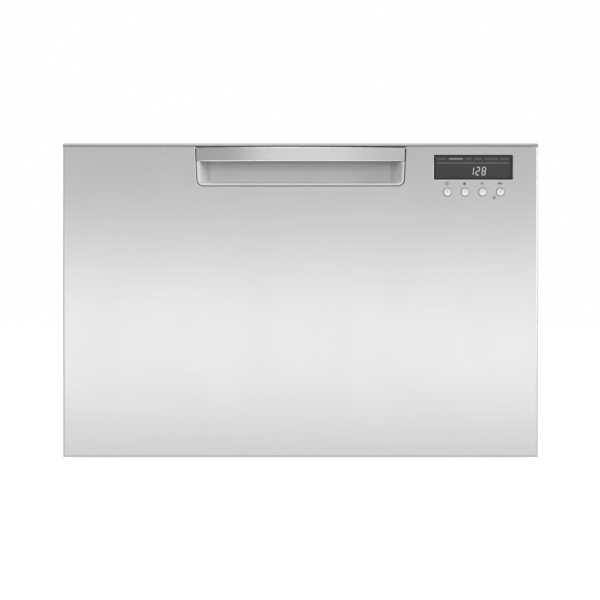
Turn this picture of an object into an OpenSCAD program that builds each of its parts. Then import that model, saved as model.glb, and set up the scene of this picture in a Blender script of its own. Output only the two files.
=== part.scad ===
// Single-drawer dishwasher, 600 mm class, for building in under a worktop.
// A tub on telescopic runners carries a steel front with a recessed handle,
// and a lid inside the chassis seals the tub.
// Millimetres. X runs across, +Y to the back, +Z up.
// The origin is on the floor, under the middle of the appliance.

/* [Front] */
// Width of the steel front
panel_w = 599; // [592:1:606]
// Height of the front, with its trim strip
panel_h = 396; // [392:1:404]
// Depth of the front's folded sides
panel_d = 20; // [17:1:22]
// Thickness of the steel skin
skin_t = 0.8; // [0.6:0.1:1.2]
// Outer radius of the skin's folded edges
bend_r = 3; // [2:0.5:5]
// Width of the hem folded inward behind the skin
hem_w = 8; // [5:1:12]
// Height of the trim strip along the top
trim_h = 3.8; // [3:0.1:5]
// Radius of the trim's front edge and ends
trim_r = 3.2; // [1:0.1:3.4]
// Shadow gap between the trim and the skin
trim_gap = 0.6; // [0.3:0.1:1]

/* [Handle] */
// Width of the handle opening at its top
grip_w = 266.8; // [220:0.2:300]
// How much the opening narrows at each side, over its height
grip_taper = 1.9; // [0:0.1:5]
// Height of the handle opening
grip_h = 50.2; // [40:0.2:60]
// Radius of the opening's lower corners
grip_r = 9; // [5:0.5:14]
// Height of the grip bar
bar_h = 17.7; // [12:0.1:22]
// How far the bar bows forward in its middle
bar_bow = 5; // [2:0.5:7]
// Thickness of the bar's face
bar_t = 2.5; // [1.5:0.1:3]
// Depth of the bar's upper and lower lips
bar_lip = 8; // [5:1:12]
// Depth of the finger pocket behind the skin's face
pocket_d = 36; // [28:1:38]
// Width of the pocket's rim inside the opening
rim_band = 2.6; // [2:0.1:4]
// Gap between the pocket and the skin
rim_gap = 1.2; // [0.5:0.1:1.5]
// Wall of the pocket moulding
pocket_wall = 1.8; // [1.2:0.1:2.5]

/* [Controls] */
// Width of the display window
window_w = 99.8; // [80:0.2:110]
// Height of the display window
window_h = 31.6; // [24:0.1:34]
// Radius of the window's corners
window_r = 1.6; // [0.8:0.1:4]
// Distance of the window's middle from the front's middle
window_x = 217.6; // [205:0.2:228]
// Depth of the window's middle below the top of the front
window_drop = 30.6; // [26:0.1:36]
// Radius of a button cap
button_r = 4.8; // [4:0.1:5.5]
// Gap around a button cap
button_gap = 0.7; // [0.4:0.1:1]
// How far a button stands out of the skin
button_proud = 0.8; // [0.5:0.1:1.5]
// Travel of a button
button_travel = 1.2; // [0.6:0.1:1.5]
// Distance between neighbouring buttons
button_pitch = 22.2; // [18:0.1:24]
// Place of the first button from the front's middle
button_x = 185; // [178:1:190]
// Depth of the buttons below the top of the front
button_drop = 61.7; // [58:0.1:70]
// Radius of the status light
light_r = 2; // [1.5:0.1:2.5]
// Place of the status light from the front's middle
light_x = 243.9; // [236:0.1:246]
// Depth of the status light below the top of the front
light_drop = 68.7; // [66:0.1:76]

/* [Chassis] */
// Depth from the face of the front to the back
body_d = 573; // [565:1:585]
// Width of the chassis
chassis_w = 594; // [588:1:598]
// Thickness of the chassis sheet
sheet_t = 1; // [0.8:0.1:1.2]
// How far the chassis stays below the top of the front
chassis_drop = 4; // [3:1:8]
// Gap between the floor and the front
floor_gap = 3; // [2:1:6]
// Height of the levelling feet
foot_h = 6; // [5:1:10]
// Width of the flange on the chassis's front edge
flange_w = 8; // [6:1:10]
// Thickness of the gasket between front and chassis
gasket_t = 1.8; // [1:0.1:2.5]
// Room left behind the tub for the folding link
rear_room = 65; // [60:1:75]
// Room left above the tub for the lid and its lift
lid_room = 54; // [50:1:60]

/* [Runners] */
// Stand-off between the chassis side and the runner
standoff = 7; // [5:0.5:9]
// Width of the runner
runner_w = 12.7; // [12.7:0.1:14]
// Height of the runner
runner_h = 45; // [42:1:50]
// Thickness of the runner's sections
runner_t = 1.4; // [1.2:0.1:1.6]
// Diameter of the balls
ball_d = 3.6; // [3:0.1:3.8]
// Number of balls in a row
balls = 9; // [5:1:14]
// Height of the runner's middle above the floor
runner_z = 300; // [285:1:305]
// Length of the runner's fixed and tub sections
runner_l = 460; // [430:1:464]
// Travel of the drawer
travel = 500; // [400:10:500]

/* [Tub] */
// Height of the tub's inner floor above the floor
tub_floor = 80; // [76:1:90]
// Thickness of the tub wall
tub_wall = 3; // [2.5:0.1:4]
// Width of the flange round the tub's rim
rim_w = 9; // [8:0.5:12]
// Thickness of that flange
rim_t = 4; // [3:0.5:5]
// Radius of the tub's upright corners
tub_r = 42; // [34:1:50]
// Radius between the tub's walls and floor
tub_foot_r = 32; // [24:1:36]
// How much each wall leans in, from rim to floor
tub_draft = 8; // [4:1:10]
// Radius of the sump
sump_r = 76; // [68:1:80]
// Depth of the sump below the tub's floor
sump_d = 16; // [12:1:18]

/* [Lid] */
// Thickness of the lid plate
lid_t = 3; // [2:0.5:4]
// Height of the lid's ribs
lid_rib = 12; // [8:1:14]
// Height of the lid seal
seal_h = 5; // [4:0.5:6]
// Lift of the lid
lid_lift = 12; // [8:1:12]
// Module of the lid's rack and pinions
gear_m = 1; // [1:0.1:1.1]
// Teeth of a lid pinion
pinion_teeth = 16; // [16:1:18]

/* [Racks] */
// Diameter of the rack's wires
wire_d = 4; // [3:0.2:5]
// Height of the rack
rack_h = 128; // [110:1:132]
// Gap between the rack and the tub's floor
rack_lift = 32; // [30:1:34]
// Distance between the wires that run across
cross_pitch = 37.5; // [30:0.5:40]
// Distance between the wires that run front to back
long_pitch = 50; // [35:1:54]
// Number of tines in a row
tines = 15; // [9:2:17]
// Distance between tines
tine_pitch = 26; // [18:1:26]
// Height of a tine
tine_h = 66; // [50:1:70]
// Distance between the tine rows
tine_rows = 92; // [80:1:100]
// Reach of a folding cup rack
cup_reach = 92; // [70:1:94]
// Length of a folding cup rack
cup_l = 272; // [250:2:280]

/* [Spray arm] */
// Radius that the spray arm sweeps
arm_r = 196; // [150:1:200]
// Thickness of the spray arm
arm_t = 10; // [8:1:12]
// Radius of the post that the arm turns on
post_r = 6.5; // [5:0.5:8]

/* [Link] */
// Distance of the link's pivots from the chassis side
link_in = 61; // [58:1:76]
// Width of a link arm
link_w = 30; // [24:1:32]
// Height of a link arm
link_t = 18; // [14:1:20]
// Radius of the link's pivot pins
link_pin = 4; // [3:0.5:5]
// Height of the lower link arm above the floor
link_z = 150; // [140:1:170]
// Play of the tub's link pin in its slot
link_slot = 12; // [12:1:14]

/* [Service bay] */
// Width of the bay in the back panel
bay_w = 160; // [150:1:180]
// Height of the bay
bay_h = 80; // [70:1:84]
// Depth of the bay
bay_d = 40; // [36:1:44]
// Radius of the water inlet's thread, for a 3/4 inch hose
inlet_r = 13.2; // [13.2:0.1:13.3]
// Radius of the drain hose spigot
drain_r = 9.5; // [8:0.5:11]
// Radius of the mains cable's gland bore
gland_r = 4.5; // [3.5:0.5:6]

/* [Hidden] */

$fn = 48;
hull_fn = 32;
eps = 0.01;
seat = 0.3;       // gap between pieces that rest on each other
run_gap = 0.06;   // radial gap of a pivot in its bore

// The appliance's planes
front_y = -(body_d + button_proud) / 2 + button_proud;
back_y = front_y + body_d;
top_z = floor_gap + panel_h;
skin_y = front_y + panel_d;
skin_top = top_z - trim_h - trim_gap;
chassis_y = skin_y + gasket_t + 0.2;
chassis_top = top_z - chassis_drop;
side_x = chassis_w / 2 - sheet_t;

// The runners, from the chassis side inward
runner_x = side_x - standoff;
runner_in = runner_x - runner_w;
bracket_t = 2;
bracket_x = runner_in - 0.2;

// The tub, between the runners
rim_x = bracket_x - bracket_t - 3;
frame_y = chassis_y + 19.5;
rim_y0 = frame_y + 0.5;
rim_y1 = back_y - rear_room;
tub_y = (rim_y0 + rim_y1) / 2;
rim_dy = (rim_y1 - rim_y0) / 2;
rim_z = top_z - lid_room;
body_x = rim_x - rim_w;
body_dy = rim_dy - rim_w;
floor_x = body_x - tub_draft - tub_wall;
floor_dy = body_dy - tub_draft - tub_wall;

// The drawer's inner frame
frame_x = side_x - flange_w - 8;
frame_z0 = floor_gap + 29;
frame_z1 = skin_top - 10;
frame_wall = 2.5;
screw_x = 200;
screw_z = [60, 240];
light_z = top_z - light_drop;

/* Helpers */

// A box from its lowest to its highest corner
module box(low, high) {
    translate(low) cube(high - low);
}

// A rectangle with round corners
module rrect(w, d, r) {
    square([w - 2 * r, d], center = true);
    square([w, d - 2 * r], center = true);
    for (x = [-1, 1], y = [-1, 1])
        translate([x * (w / 2 - r), y * (d / 2 - r)]) circle(r);
}

// A ring between two rectangles with round corners
module ring(w, d, r, band) {
    difference() {
        rrect(w, d, r);
        rrect(w - 2 * band, d - 2 * band, r - band);
    }
}

// Extrudes an outline drawn in X and Z from y0 back to y1
module slab(y0, y1) {
    translate([0, y1, 0]) rotate([90, 0, 0]) linear_extrude(y1 - y0) children();
}

// Extrudes an outline drawn in Y and Z from x0 to x1
module across(x0, x1) {
    translate([x0, 0, 0]) rotate([90, 0, 90]) linear_extrude(x1 - x0) children();
}

// A cylinder from a point along Y
module rod_y(r, l) {
    rotate([-90, 0, 0]) cylinder(r = r, h = l);
}

// A cylinder from a point along X
module rod_x(r, l) {
    rotate([0, 90, 0]) cylinder(r = r, h = l);
}

// The same piece at the left and right
module both_sides() {
    children();
    mirror([1, 0, 0]) children();
}

/* Front */

// Plan of the folded skin, drawn inset from its outside
module skin_plan(inset) {
    r = max(bend_r - inset, 0.3);
    w = panel_w / 2 - inset;
    y0 = front_y + inset;
    y1 = skin_y - inset;
    translate([-w, y0 + r]) square([2 * w, y1 - y0 - r]);
    translate([-w + r, y0]) square([2 * (w - r), r + 1]);
    for (x = [-1, 1]) translate([x * (w - r), y0 + r]) circle(r);
}

// Side view of the folded skin, drawn inset from its outside
module skin_side(inset, z1) {
    r = max(bend_r - inset, 0.3);
    z0 = floor_gap + inset;
    y0 = front_y + inset;
    y1 = skin_y - inset;
    translate([y0, z0 + r]) square([y1 - y0, z1 - z0 - r]);
    translate([y0 + r, z0]) square([y1 - y0 - r, r + 1]);
    translate([y0 + r, z0 + r]) circle(r);
}

module skin_form(inset, z1) {
    intersection() {
        translate([0, 0, floor_gap - 1]) linear_extrude(panel_h + 5) skin_plan(inset);
        across(-panel_w, panel_w) skin_side(inset, z1);
    }
}

// The handle opening in X and Z, drawn inset from the skin's edge
module grip_outline(inset, z1 = skin_top + 1, narrow = 0) {
    z0 = skin_top - grip_h + inset;
    r = max(grip_r - inset, 1);
    wide = grip_w / 2 - inset - narrow;
    low = wide - grip_taper;
    polygon([
        [-wide, z1], [wide, z1], [low, z0 + r], [low - r, z0 + r],
        [low - r, z0], [-low + r, z0], [-low + r, z0 + r], [-low, z0 + r]
    ]);
    for (x = [-1, 1]) translate([x * (low - r), z0 + r]) circle(r);
}

module window_outline(grow = 0) {
    translate([window_x, top_z - window_drop])
        rrect(window_w + 2 * grow, window_h + 2 * grow, window_r + max(grow, -0.5));
}

module at_button(n) {
    translate([button_x + n * button_pitch, 0, top_z - button_drop]) children();
}

module at_light() {
    translate([light_x, 0, top_z - light_drop]) children();
}

module front_skin() {
    color("gainsboro") difference() {
        skin_form(0, skin_top);
        skin_form(skin_t, skin_top + 1);
        // the open back, inside the hems
        slab(skin_y - 2, skin_y + 1)
            translate([0, floor_gap + hem_w + panel_h / 2])
                square([panel_w - 2 * hem_w, panel_h], center = true);
        slab(front_y - 1, front_y + skin_t + 1) grip_outline(0);
        slab(front_y - 1, front_y + skin_t + 1) window_outline();
        for (n = [0:3]) at_button(n)
            translate([0, front_y - 1, 0]) rod_y(button_r + button_gap, 3);
        at_light() translate([0, front_y - 1, 0]) rod_y(light_r + 0.15, 3);
    }
}

tongue_w = 120;   // width of the trim's tongues

// Cap strip along the top of the front, with rounded front edge and ends
module top_trim() {
    y1 = skin_y;
    w = panel_w / 2;
    z0 = top_z - trim_h;
    color("darkgray") union() {
        intersection() {
            across(-w, w) {
                translate([front_y, z0]) square([y1 - front_y, trim_h - trim_r]);
                translate([front_y + trim_r, z0]) square([y1 - front_y - trim_r, trim_h]);
                translate([front_y + trim_r, top_z - trim_r]) circle(trim_r);
            }
            slab(front_y - 1, y1 + 1) {
                translate([-w, z0]) square([2 * w, trim_h - trim_r]);
                translate([-w + trim_r, z0]) square([2 * (w - trim_r), trim_h]);
                for (x = [-1, 1]) translate([x * (w - trim_r), top_z - trim_r]) circle(trim_r);
            }
        }
        // tongues that stand on the frame behind the skin
        for (x = [-1, 1]) translate([x * (frame_x + pocket_x + 10) / 2, 0, 0])
            box([-tongue_w / 2, skin_y - 4, frame_z1], [tongue_w / 2, skin_y - 1.5, z0 + eps]);
        // spacer lip that keeps the shadow gap open
        box([-w + 6, front_y + 6, skin_top + eps], [w - 6, skin_y - 1, z0 + eps]);
    }
}

// Moulded pan that carries the skin and screws to the tub
module front_frame() {
    y0 = front_y + skin_t + 0.2;
    w = frame_x;
    color("dimgray") difference() {
        union() {
            difference() {
                box([-w, y0, frame_z0], [w, frame_y, frame_z1 - seat]);
                box([-w + frame_wall, y0 - 1, frame_z0 + frame_wall],
                    [w - frame_wall, frame_y - frame_wall, frame_z1 - frame_wall - seat]);
            }
            // stiffening ribs on the pan's floor
            for (x = [-3:3]) translate([x * 80, 0, 0])
                box([-1, frame_y - 14, frame_z0], [1, frame_y - frame_wall + eps, rib_top]);
            for (z = [90, 150, 210, 270])
                box([-w + 1, frame_y - 14, z - 1], [w - 1, frame_y - frame_wall + eps, z + 1]);
            // screw bosses
            for (x = [-1, 1], z = screw_z)
                translate([x * screw_x, frame_y - 16, z]) rod_y(5, 15);
        }
        // room for the pocket and the dispenser
        box([-pocket_x - 1, y0 - 2, pocket_z0 - 1], [pocket_x + 1, frame_y + 1, frame_z1 + 1]);
        box([-disp_w / 2 - 1, y0 - 2, disp_z - disp_h / 2 - 1],
            [disp_w / 2 + 1, frame_y + 1, disp_z + disp_h / 2 + 1]);
        // room for the display and its board
        box([window_x - window_w / 2 - 8, y0 - 2, light_z - 16],
            [window_x + window_w / 2 + 8, board_y + 11, frame_z1 + 1]);
        for (x = [-1, 1], z = screw_z)
            translate([x * screw_x, frame_y - 20, z]) rod_y(2.2, 30);
    }
}

/* Handle */

pocket_x = grip_w / 2 + pocket_wall + 1;
pocket_z0 = skin_top - grip_h - 3;
pocket_y = front_y + pocket_d;
bar_z0 = skin_top - bar_h - 0.6;
bar_setback = bar_bow + bar_lip + 0.5;
scoop_top = 19.5; // how far the scoop's ceiling drops, to pass under the gasket
scoop_z = 2;      // how far the scoop's floor leans in
scoop_x = 12;     // how much more its ends lean in
rib_top = pocket_z0 - 20;

// The hollow or the shell of the scoop, as a hull between two outlines
module scoop(grow, y0) {
    deep = pocket_y - pocket_wall + grow;
    $fn = hull_fn;
    hull() {
        slab(y0, y0 + 0.5) grip_outline(rim_gap + rim_band - grow, skin_top - 2 + grow);
        slab(deep - 16, deep - 15.5)
            grip_outline(rim_gap + rim_band + scoop_z / 3 - grow, skin_top - scoop_top * 0.6 + grow,
                scoop_x * 0.45);
        slab(deep - 0.5, deep)
            grip_outline(rim_gap + rim_band + scoop_z - grow, skin_top - scoop_top + grow, scoop_x);
    }
}

module handle_pocket() {
    color("silver") difference() {
        union() {
            // rim that fills the skin's opening
            slab(front_y + 0.5, front_y + 3.5) grip_outline(rim_gap, skin_top - 0.3);
            // flange behind the skin
            slab(front_y + skin_t + 0.1, front_y + 3.5)
                grip_outline(-2, skin_top - 0.3);
            scoop(pocket_wall, front_y + 3);
        }
        scoop(0, front_y - 1);
        // the bar's seat
        box([-grip_w, front_y - 1, bar_z0 - 0.3], [grip_w, front_y + bar_setback, skin_top + 1]);
    }
}

// Section of the grip bar, drawn outward from the bow's centre
module bar_section(r) {
    edge = 0.9;
    translate([r - bar_t, 0]) {
        translate([0, edge]) square([bar_t, bar_h - 2 * edge]);
        translate([0, 0]) square([bar_t - edge, bar_h]);
        for (z = [edge, bar_h - edge]) translate([bar_t - edge, z]) circle(edge);
    }
    for (z = [0, bar_h - 1.6])
        translate([r - bar_lip, z]) square([bar_lip - 1, 1.6]);
}

module handle_bar() {
    half = grip_w / 2 - rim_gap;
    r = (half * half + bar_bow * bar_bow) / (2 * bar_bow);
    turn = 2 * asin((half + 4) / r);
    color("silver") intersection() {
        translate([0, front_y + r, bar_z0])
            rotate([0, 0, -90 - turn / 2]) rotate_extrude(angle = turn, $fn = 3000) bar_section(r);
        slab(front_y - 1, front_y + 40)
            polygon([[-half, top_z], [half, top_z],
                [half - grip_taper * bar_h / grip_h, bar_z0 - 1], [-half + grip_taper * bar_h / grip_h, bar_z0 - 1]]);
    }
}

/* Controls */

carrier_y0 = front_y + skin_t + 0.2;
carrier_l = 7;
board_y = carrier_y0 + 12;

module display_lens() {
    color([0.12, 0.12, 0.13]) union() {
        slab(front_y + 0.4, front_y + skin_t + 0.2) window_outline(-0.25);
        slab(front_y + skin_t + 0.1, front_y + 2.4) window_outline(3);
    }
}

// Board with the liquid crystal display in its tray
module control_board() {
    z0 = top_z - light_drop - 12;
    z1 = top_z - window_drop + window_h / 2;
    color("darkgreen") union() {
        slab(front_y + 2.7, front_y + 5.2) window_outline(-3);
        slab(front_y + 5, board_y + eps) window_outline(-7);
        box([window_x - 52, board_y, z0], [window_x + 54, board_y + 1.6, z1]);
        // tact switches under the buttons
        for (n = [0:3]) at_button(n) {
            box([-3, board_y - 1.6, -3], [3, board_y + eps, 3]);
            translate([0, board_y - 2, 0]) rod_y(1.6, 1);
        }
        // chips and a connector on the back
        box([window_x - 30, board_y + 1.5, z0 + 12], [window_x - 16, board_y + 4, z0 + 26]);
        box([window_x + 10, board_y + 1.5, z0 + 14], [window_x + 22, board_y + 4, z0 + 22]);
        box([window_x - 48, board_y + 1.5, z0 + 34], [window_x - 28, board_y + 9, z0 + 42]);
    }
}

// Moulded carrier that guides the caps behind the skin
module button_carrier() {
    z = top_z - button_drop;
    x0 = button_x - 14;
    x1 = button_x + 3 * button_pitch + 14;
    color("gray") difference() {
        union() {
            box([x0, carrier_y0, z - 13], [x1, carrier_y0 + 2, z + 9]);
            for (n = [0:3]) at_button(n) translate([0, carrier_y0, 0]) rod_y(button_r + 2, carrier_l);
            for (x = [x0, x1 - 4], h = [z - 13, z + 5])
                box([x, carrier_y0, h], [x + 4, board_y - 0.1, h + 4]);
        }
        for (n = [0:3]) at_button(n)
            translate([0, carrier_y0 - 1, 0]) rod_y(button_r + 0.15, carrier_l + 3);
        at_light() translate([0, carrier_y0 - 1, 0]) rod_y(light_r + 0.15, 5);
    }
}

module status_light() {
    color("gray") at_light() translate([0, front_y + 0.2, 0]) {
        rod_y(light_r, board_y - front_y - 0.4);
        translate([0, skin_t + 2.2, 0]) rod_y(light_r + 1, 1.5);
    }
}

// A cap with a softly domed face, a collar's worth of skirt and a switch stem
module button_cap(n) {
    face = front_y - button_proud;
    dome = 0.5;
    dome_r = (button_r * button_r + dome * dome) / (2 * dome);
    color("whitesmoke") at_button(n) union() {
        intersection() {
            translate([0, face, 0]) rod_y(button_r, 9);
            translate([0, face + dome_r, 0]) sphere(dome_r, $fn = 200);
        }
        translate([0, face + 5, 0]) rod_y(1.8, board_y - 2 - button_travel - 0.05 - face - 5);
    }
}

/* Chassis */

base_z = foot_h;
swage_d = 1.8;

// A pressed stiffening swage on a side sheet, as its outside or its hollow
module side_swage(z, l, h, inset) {
    r = h / 2 - inset;
    across(side_x - 1 - inset, side_x + sheet_t + swage_d - (inset > 0 ? sheet_t : 0))
        translate([(chassis_y + back_y) / 2, z]) {
            square([l - h, 2 * r], center = true);
            for (e = [-1, 1]) translate([e * (l - h) / 2, 0]) circle(r);
        }
}

// The right side: sheet with flanges, swages, and hats that stand the runner off
module chassis_side() {
    swages = [[70, 400], [130, 460], [190, 460], [245, 400]];
    color("lightgray") difference() {
        union() {
            box([side_x, chassis_y, base_z], [chassis_w / 2, back_y, chassis_top]);
            box([chassis_w / 2 - flange_w, chassis_y, base_z],
                [chassis_w / 2, chassis_y + sheet_t, chassis_top]);
            box([side_x - 18, chassis_y, chassis_top - sheet_t],
                [chassis_w / 2, back_y, chassis_top]);
            box([side_x - 18, chassis_y, base_z], [chassis_w / 2, back_y, base_z + sheet_t]);
            difference() {
                for (s = swages) side_swage(s[0], s[1], 22, 0);
                box([0, -1000, 0], [side_x, 1000, 1000]);
            }
            for (y = runner_screws) translate([0, runner_mid_y + y, 0])
                box([runner_x, -15, runner_z - 16], [side_x + eps, 15, runner_z + 16]);
            // slotted guides that keep the lid level
            for (y = [-1, 1]) translate([0, tub_y + y * guide_dy, 0])
                box([side_x - 14, -12, rim_z + 2], [side_x + eps, 12, chassis_top - 2]);
        }
        for (s = swages) side_swage(s[0], s[1], 22, sheet_t);
        // the hats are hollow from outside
        for (y = runner_screws) translate([0, runner_mid_y + y, 0]) {
            box([runner_x + 1.5, -13, runner_z - 14], [side_x + 5, 13, runner_z + 14]);
            translate([runner_x - 1, 0, runner_z]) rod_x(2.2, 5);
        }
        // slots of the lid guides
        for (y = [-1, 1]) translate([0, tub_y + y * guide_dy, 0])
            box([side_x - 15, -lug_w / 2 - 0.35, rim_z], [side_x - 4.5, lug_w / 2 + 0.35, chassis_top - 2]);
        // screw holes to the neighbouring cabinets
        for (z = side_holes)
            translate([side_x - 5, chassis_y + hole_y, z]) rod_x(hole_r, 10);
    }
}

hole_r = 2.6;
hole_y = 18;
side_holes = [60, 340];
back_recess = 2.4; // how far the back panel lies in from the sides' rear edges
back_face = back_y - back_recess;
back_in = back_face - sheet_t;
bead_h = 16;
beads = [165, 215, 265, 315, 365];
bead_proud = 1.6;
bay_side = 30;    // from the chassis side to the bay
bay_foot = 24;    // from the base pan up to the bay
bay_x = -side_x + bay_side + bay_w / 2;
bay_z = base_z + bay_foot + bay_h / 2;

module chassis_back() {
    z0 = base_z + 2 * sheet_t + 0.1;
    z1 = chassis_top - sheet_t - 0.1;
    w = side_x - 0.1;
    color("lightgray") difference() {
        union() {
            difference() {
                box([-w, back_in - 12, z0], [w, back_face, z1]);
                box([-w + sheet_t, back_in - 13, z0 + sheet_t], [w - sheet_t, back_in, z1 - sheet_t]);
            }
            for (z = beads) slab(back_in, back_face + bead_proud)
                translate([0, z]) rrect(500, bead_h, bead_h / 2 - 0.1);
            // pressed frame round the bay
            slab(back_in - 1.5, back_in + eps) translate([bay_x, bay_z])
                ring(bay_w + 16, bay_h + 16, 8, 5);
        }
        for (z = beads) slab(back_in - 1, back_in + bead_proud)
            translate([0, z]) rrect(500 - 2 * sheet_t, bead_h - 2 * sheet_t, bead_h / 2 - sheet_t - 0.1);
        slab(back_in - 3, back_y + 1) translate([bay_x, bay_z]) rrect(bay_w, bay_h, 6);
        // louvres that vent the motor
        for (n = [0:5]) slab(back_in - 3, back_y + 1)
            translate([150, 60 + n * 12]) rrect(120, 5, 2.4);
    }
}

module base_pan() {
    w = side_x - 0.1;
    z0 = base_z + sheet_t + 0.02;
    y0 = chassis_y + sheet_t + 0.1;
    y1 = back_in - 12.3;
    color("gray") difference() {
        union() {
            difference() {
                box([-w, y0, z0], [w, y1, z0 + 9]);
                box([-w + sheet_t, y0 + sheet_t, z0 + sheet_t], [w - sheet_t, y1 - sheet_t, z0 + 20]);
            }
            // raised beads
            for (y = [-160, -80, 160])
                translate([0, tub_y + y, z0 + sheet_t - eps]) linear_extrude(1.5) rrect(420, 12, 5.9);
            // guide pin of the flood float
            translate([float_x, float_y, z0]) cylinder(r = 3, h = 14);
        }
        for (x = [-1, 1], y = [chassis_y + 45, back_y - 50])
            translate([x * foot_x, y, z0 - 1]) cylinder(r = 4.2, h = 5);
    }
}

foot_x = 250;
float_x = 150;
float_y = 60;

module levelling_feet() {
    color("black") for (x = [-1, 1], y = [chassis_y + 45, back_y - 50])
        translate([x * foot_x, y, 0]) union() {
            cylinder(r1 = 15, r2 = 16, h = 2);
            translate([0, 0, 2 - eps]) cylinder(r1 = 16, r2 = 9, h = foot_h - 3);
            cylinder(r = 8, h = foot_h + sheet_t);
            cylinder(r = 4, h = foot_h + 10);
            translate([0, 0, foot_h + 2 * sheet_t + 0.1]) cylinder(r = 7.5, h = 5, $fn = 6);
        }
}

// Top channel between the two sides
module brace(y0, depth) {
    z1 = chassis_top - sheet_t - 0.02;
    w = side_x - 0.1;
    difference() {
        box([-w, y0, z1 - 7], [w, y0 + depth, z1]);
        box([-w - 1, y0 + sheet_t, z1 - 8], [w + 1, y0 + depth - sheet_t, z1 - sheet_t]);
        for (x = [-1, 1])
            translate([x * top_hole_x, y0 + depth / 2, z1 - 5]) cylinder(r = hole_r, h = 10);
        for (x = [-2, -1, 1, 2])
            translate([x * 55, y0 + depth / 2, z1 - 5]) linear_extrude(10) rrect(70, 14, 6.9);
    }
}

top_hole_x = 200;
brace_d = 34;

module brace_front() {
    color("lightgray") brace(chassis_y + sheet_t + 0.1, brace_d);
}

module brace_rear() {
    color("lightgray") brace(back_in - 12 - brace_d - 1, brace_d);
}

// Soft gasket on the chassis's front edge
module edge_gasket() {
    z0 = base_z + 3;
    z1 = chassis_top - 2;
    color([0.25, 0.25, 0.26]) slab(chassis_y - gasket_t, chassis_y)
        translate([0, (z0 + z1) / 2]) ring(chassis_w - 3, z1 - z0, 8, 7);
}

// Moulded recess in the back panel for the connections
module service_bay() {
    y0 = back_in - bay_d;
    color("dimgray") difference() {
        union() {
            slab(y0, back_in - 1.6) translate([bay_x, bay_z]) rrect(bay_w - 0.4, bay_h - 0.4, 6);
            slab(back_in - 4, back_in - 1.6) translate([bay_x, bay_z]) rrect(bay_w + 20, bay_h + 20, 8);
        }
        slab(y0 + 2, back_y) translate([bay_x, bay_z]) rrect(bay_w - 4.4, bay_h - 4.4, 4);
        at_inlet() translate([0, y0 - 1, 0]) rod_y(inlet_r + 1, 4);
        at_drain() translate([0, y0 - 1, 0]) rod_y(drain_r + 1, 4);
        at_gland() translate([0, y0 - 1, 0]) rod_y(gland_r + 4, 4);
    }
}

module at_inlet() {
    translate([bay_x - 48, 0, bay_z]) children();
}

module at_drain() {
    translate([bay_x + 6, 0, bay_z]) children();
}

module at_gland() {
    translate([bay_x + 52, 0, bay_z]) children();
}

// Solenoid valve with the threaded inlet
module water_valve() {
    y0 = back_in - bay_d;
    color("white") at_inlet() difference() {
        union() {
            box([-18, y0 - 34, -20], [18, y0 - seat, 20]);
            translate([0, y0 - 2, 0]) rod_y(inlet_r, 20);
            translate([0, y0 + 1.8 + seat, 0]) rod_y(inlet_r + 2.5, 2.5);
            translate([0, y0 - 20, 19]) cylinder(r = 13, h = 26);
            translate([0, y0 - 33, 0]) rotate([180, 0, 0]) rod_y(6, 14);
        }
        translate([0, y0 + 4, 0]) rod_y(inlet_r - 3, 20);
        translate([0, y0 - 50, 0]) rod_y(4, 20);
    }
}

// Spigot for the drain hose, clamped in the bay's floor by its collar
module drain_spigot() {
    y0 = back_in - bay_d;
    color("dimgray") at_drain() difference() {
        union() {
            translate([0, y0 - 3 - seat, 0]) rod_y(drain_r + 6, 3);
            translate([0, y0 - 24, 0]) rod_y(drain_r - 0.7, 28);
            translate([0, y0 + 2.3, 0]) rod_y(drain_r + 3, 2.5);
            translate([0, y0 + 4.7, 0]) rod_y(drain_r, 28.3);
            translate([0, y0 + 33 - eps, 0]) rotate([-90, 0, 0]) cylinder(r1 = drain_r, r2 = drain_r - 1, h = 3);
        }
        translate([0, y0 - 30, 0]) rod_y(drain_r - 2.2, 80);
    }
}

// Terminal box with the bush that the mains cable passes through
module mains_box() {
    y0 = back_in - bay_d;
    color("dimgray") at_gland() difference() {
        union() {
            box([-18, y0 - 34, -24], [18, y0 - seat, 24]);
            translate([0, y0 - 2, 0]) rod_y(gland_r + 3.5, 16);
            translate([0, y0 + 2 + seat, 0]) rotate([-90, 30, 0])
                cylinder(r = gland_r + 6, h = 5, $fn = 6);
        }
        box([-16, y0 - 32, -22], [16, y0 - 4, 22]);
        translate([0, y0 - 5, 0]) rod_y(gland_r, 30);
    }
}

// Ring float that trips when water lies in the pan
module flood_float() {
    z0 = base_z + 2 * sheet_t + 0.1 + seat;
    color("white") translate([float_x, float_y, z0]) difference() {
        cylinder(r = 14, h = 6);
        translate([0, 0, -1]) cylinder(r = 3 + run_gap, h = 20);
    }
}

/* Runners */

// Heights of the ball rows and the sections between them, from the runner's middle
row_gap = 0.06;
race_out = runner_h / 2 - runner_t;
row_1 = race_out - ball_d / 2 + 0.4;
mid_out = row_1 - ball_d / 2 + 0.4;
mid_in = mid_out - runner_t;
row_2 = mid_in - ball_d / 2 + 0.4;
in_out = row_2 - ball_d / 2 + 0.4;
runner_mid_y = (rim_y0 + rim_y1) / 2;
runner_screws = [-180, 0, 180];
bracket_screws = [-180, -60, 60, 180];
ball_x1 = 6.9;    // middle of the outer ball rows from the wall side
ball_x2 = 8.6;    // middle of the inner ball rows from the wall side
mid_x = 3.3;      // where the middle section starts
in_x = 6.1;       // where the inner section starts

// One C section with ball grooves along its flanges, drawn in X and Z
module channel(x0, x1, half, web_x, grooves) {
    difference() {
        union() {
            translate([web_x, -half]) square([runner_t, 2 * half]);
            for (s = [-1, 1]) translate([x0, s > 0 ? half - runner_t : -half])
                square([x1 - x0, runner_t]);
        }
        for (s = [-1, 1], g = grooves) translate([g[0], s * g[1]]) circle(ball_d / 2 + row_gap);
    }
}

// Places a runner section on the right side, with its X pointing inward
module on_runner() {
    translate([runner_x, 0, runner_z]) mirror([1, 0, 0]) children();
}

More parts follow.
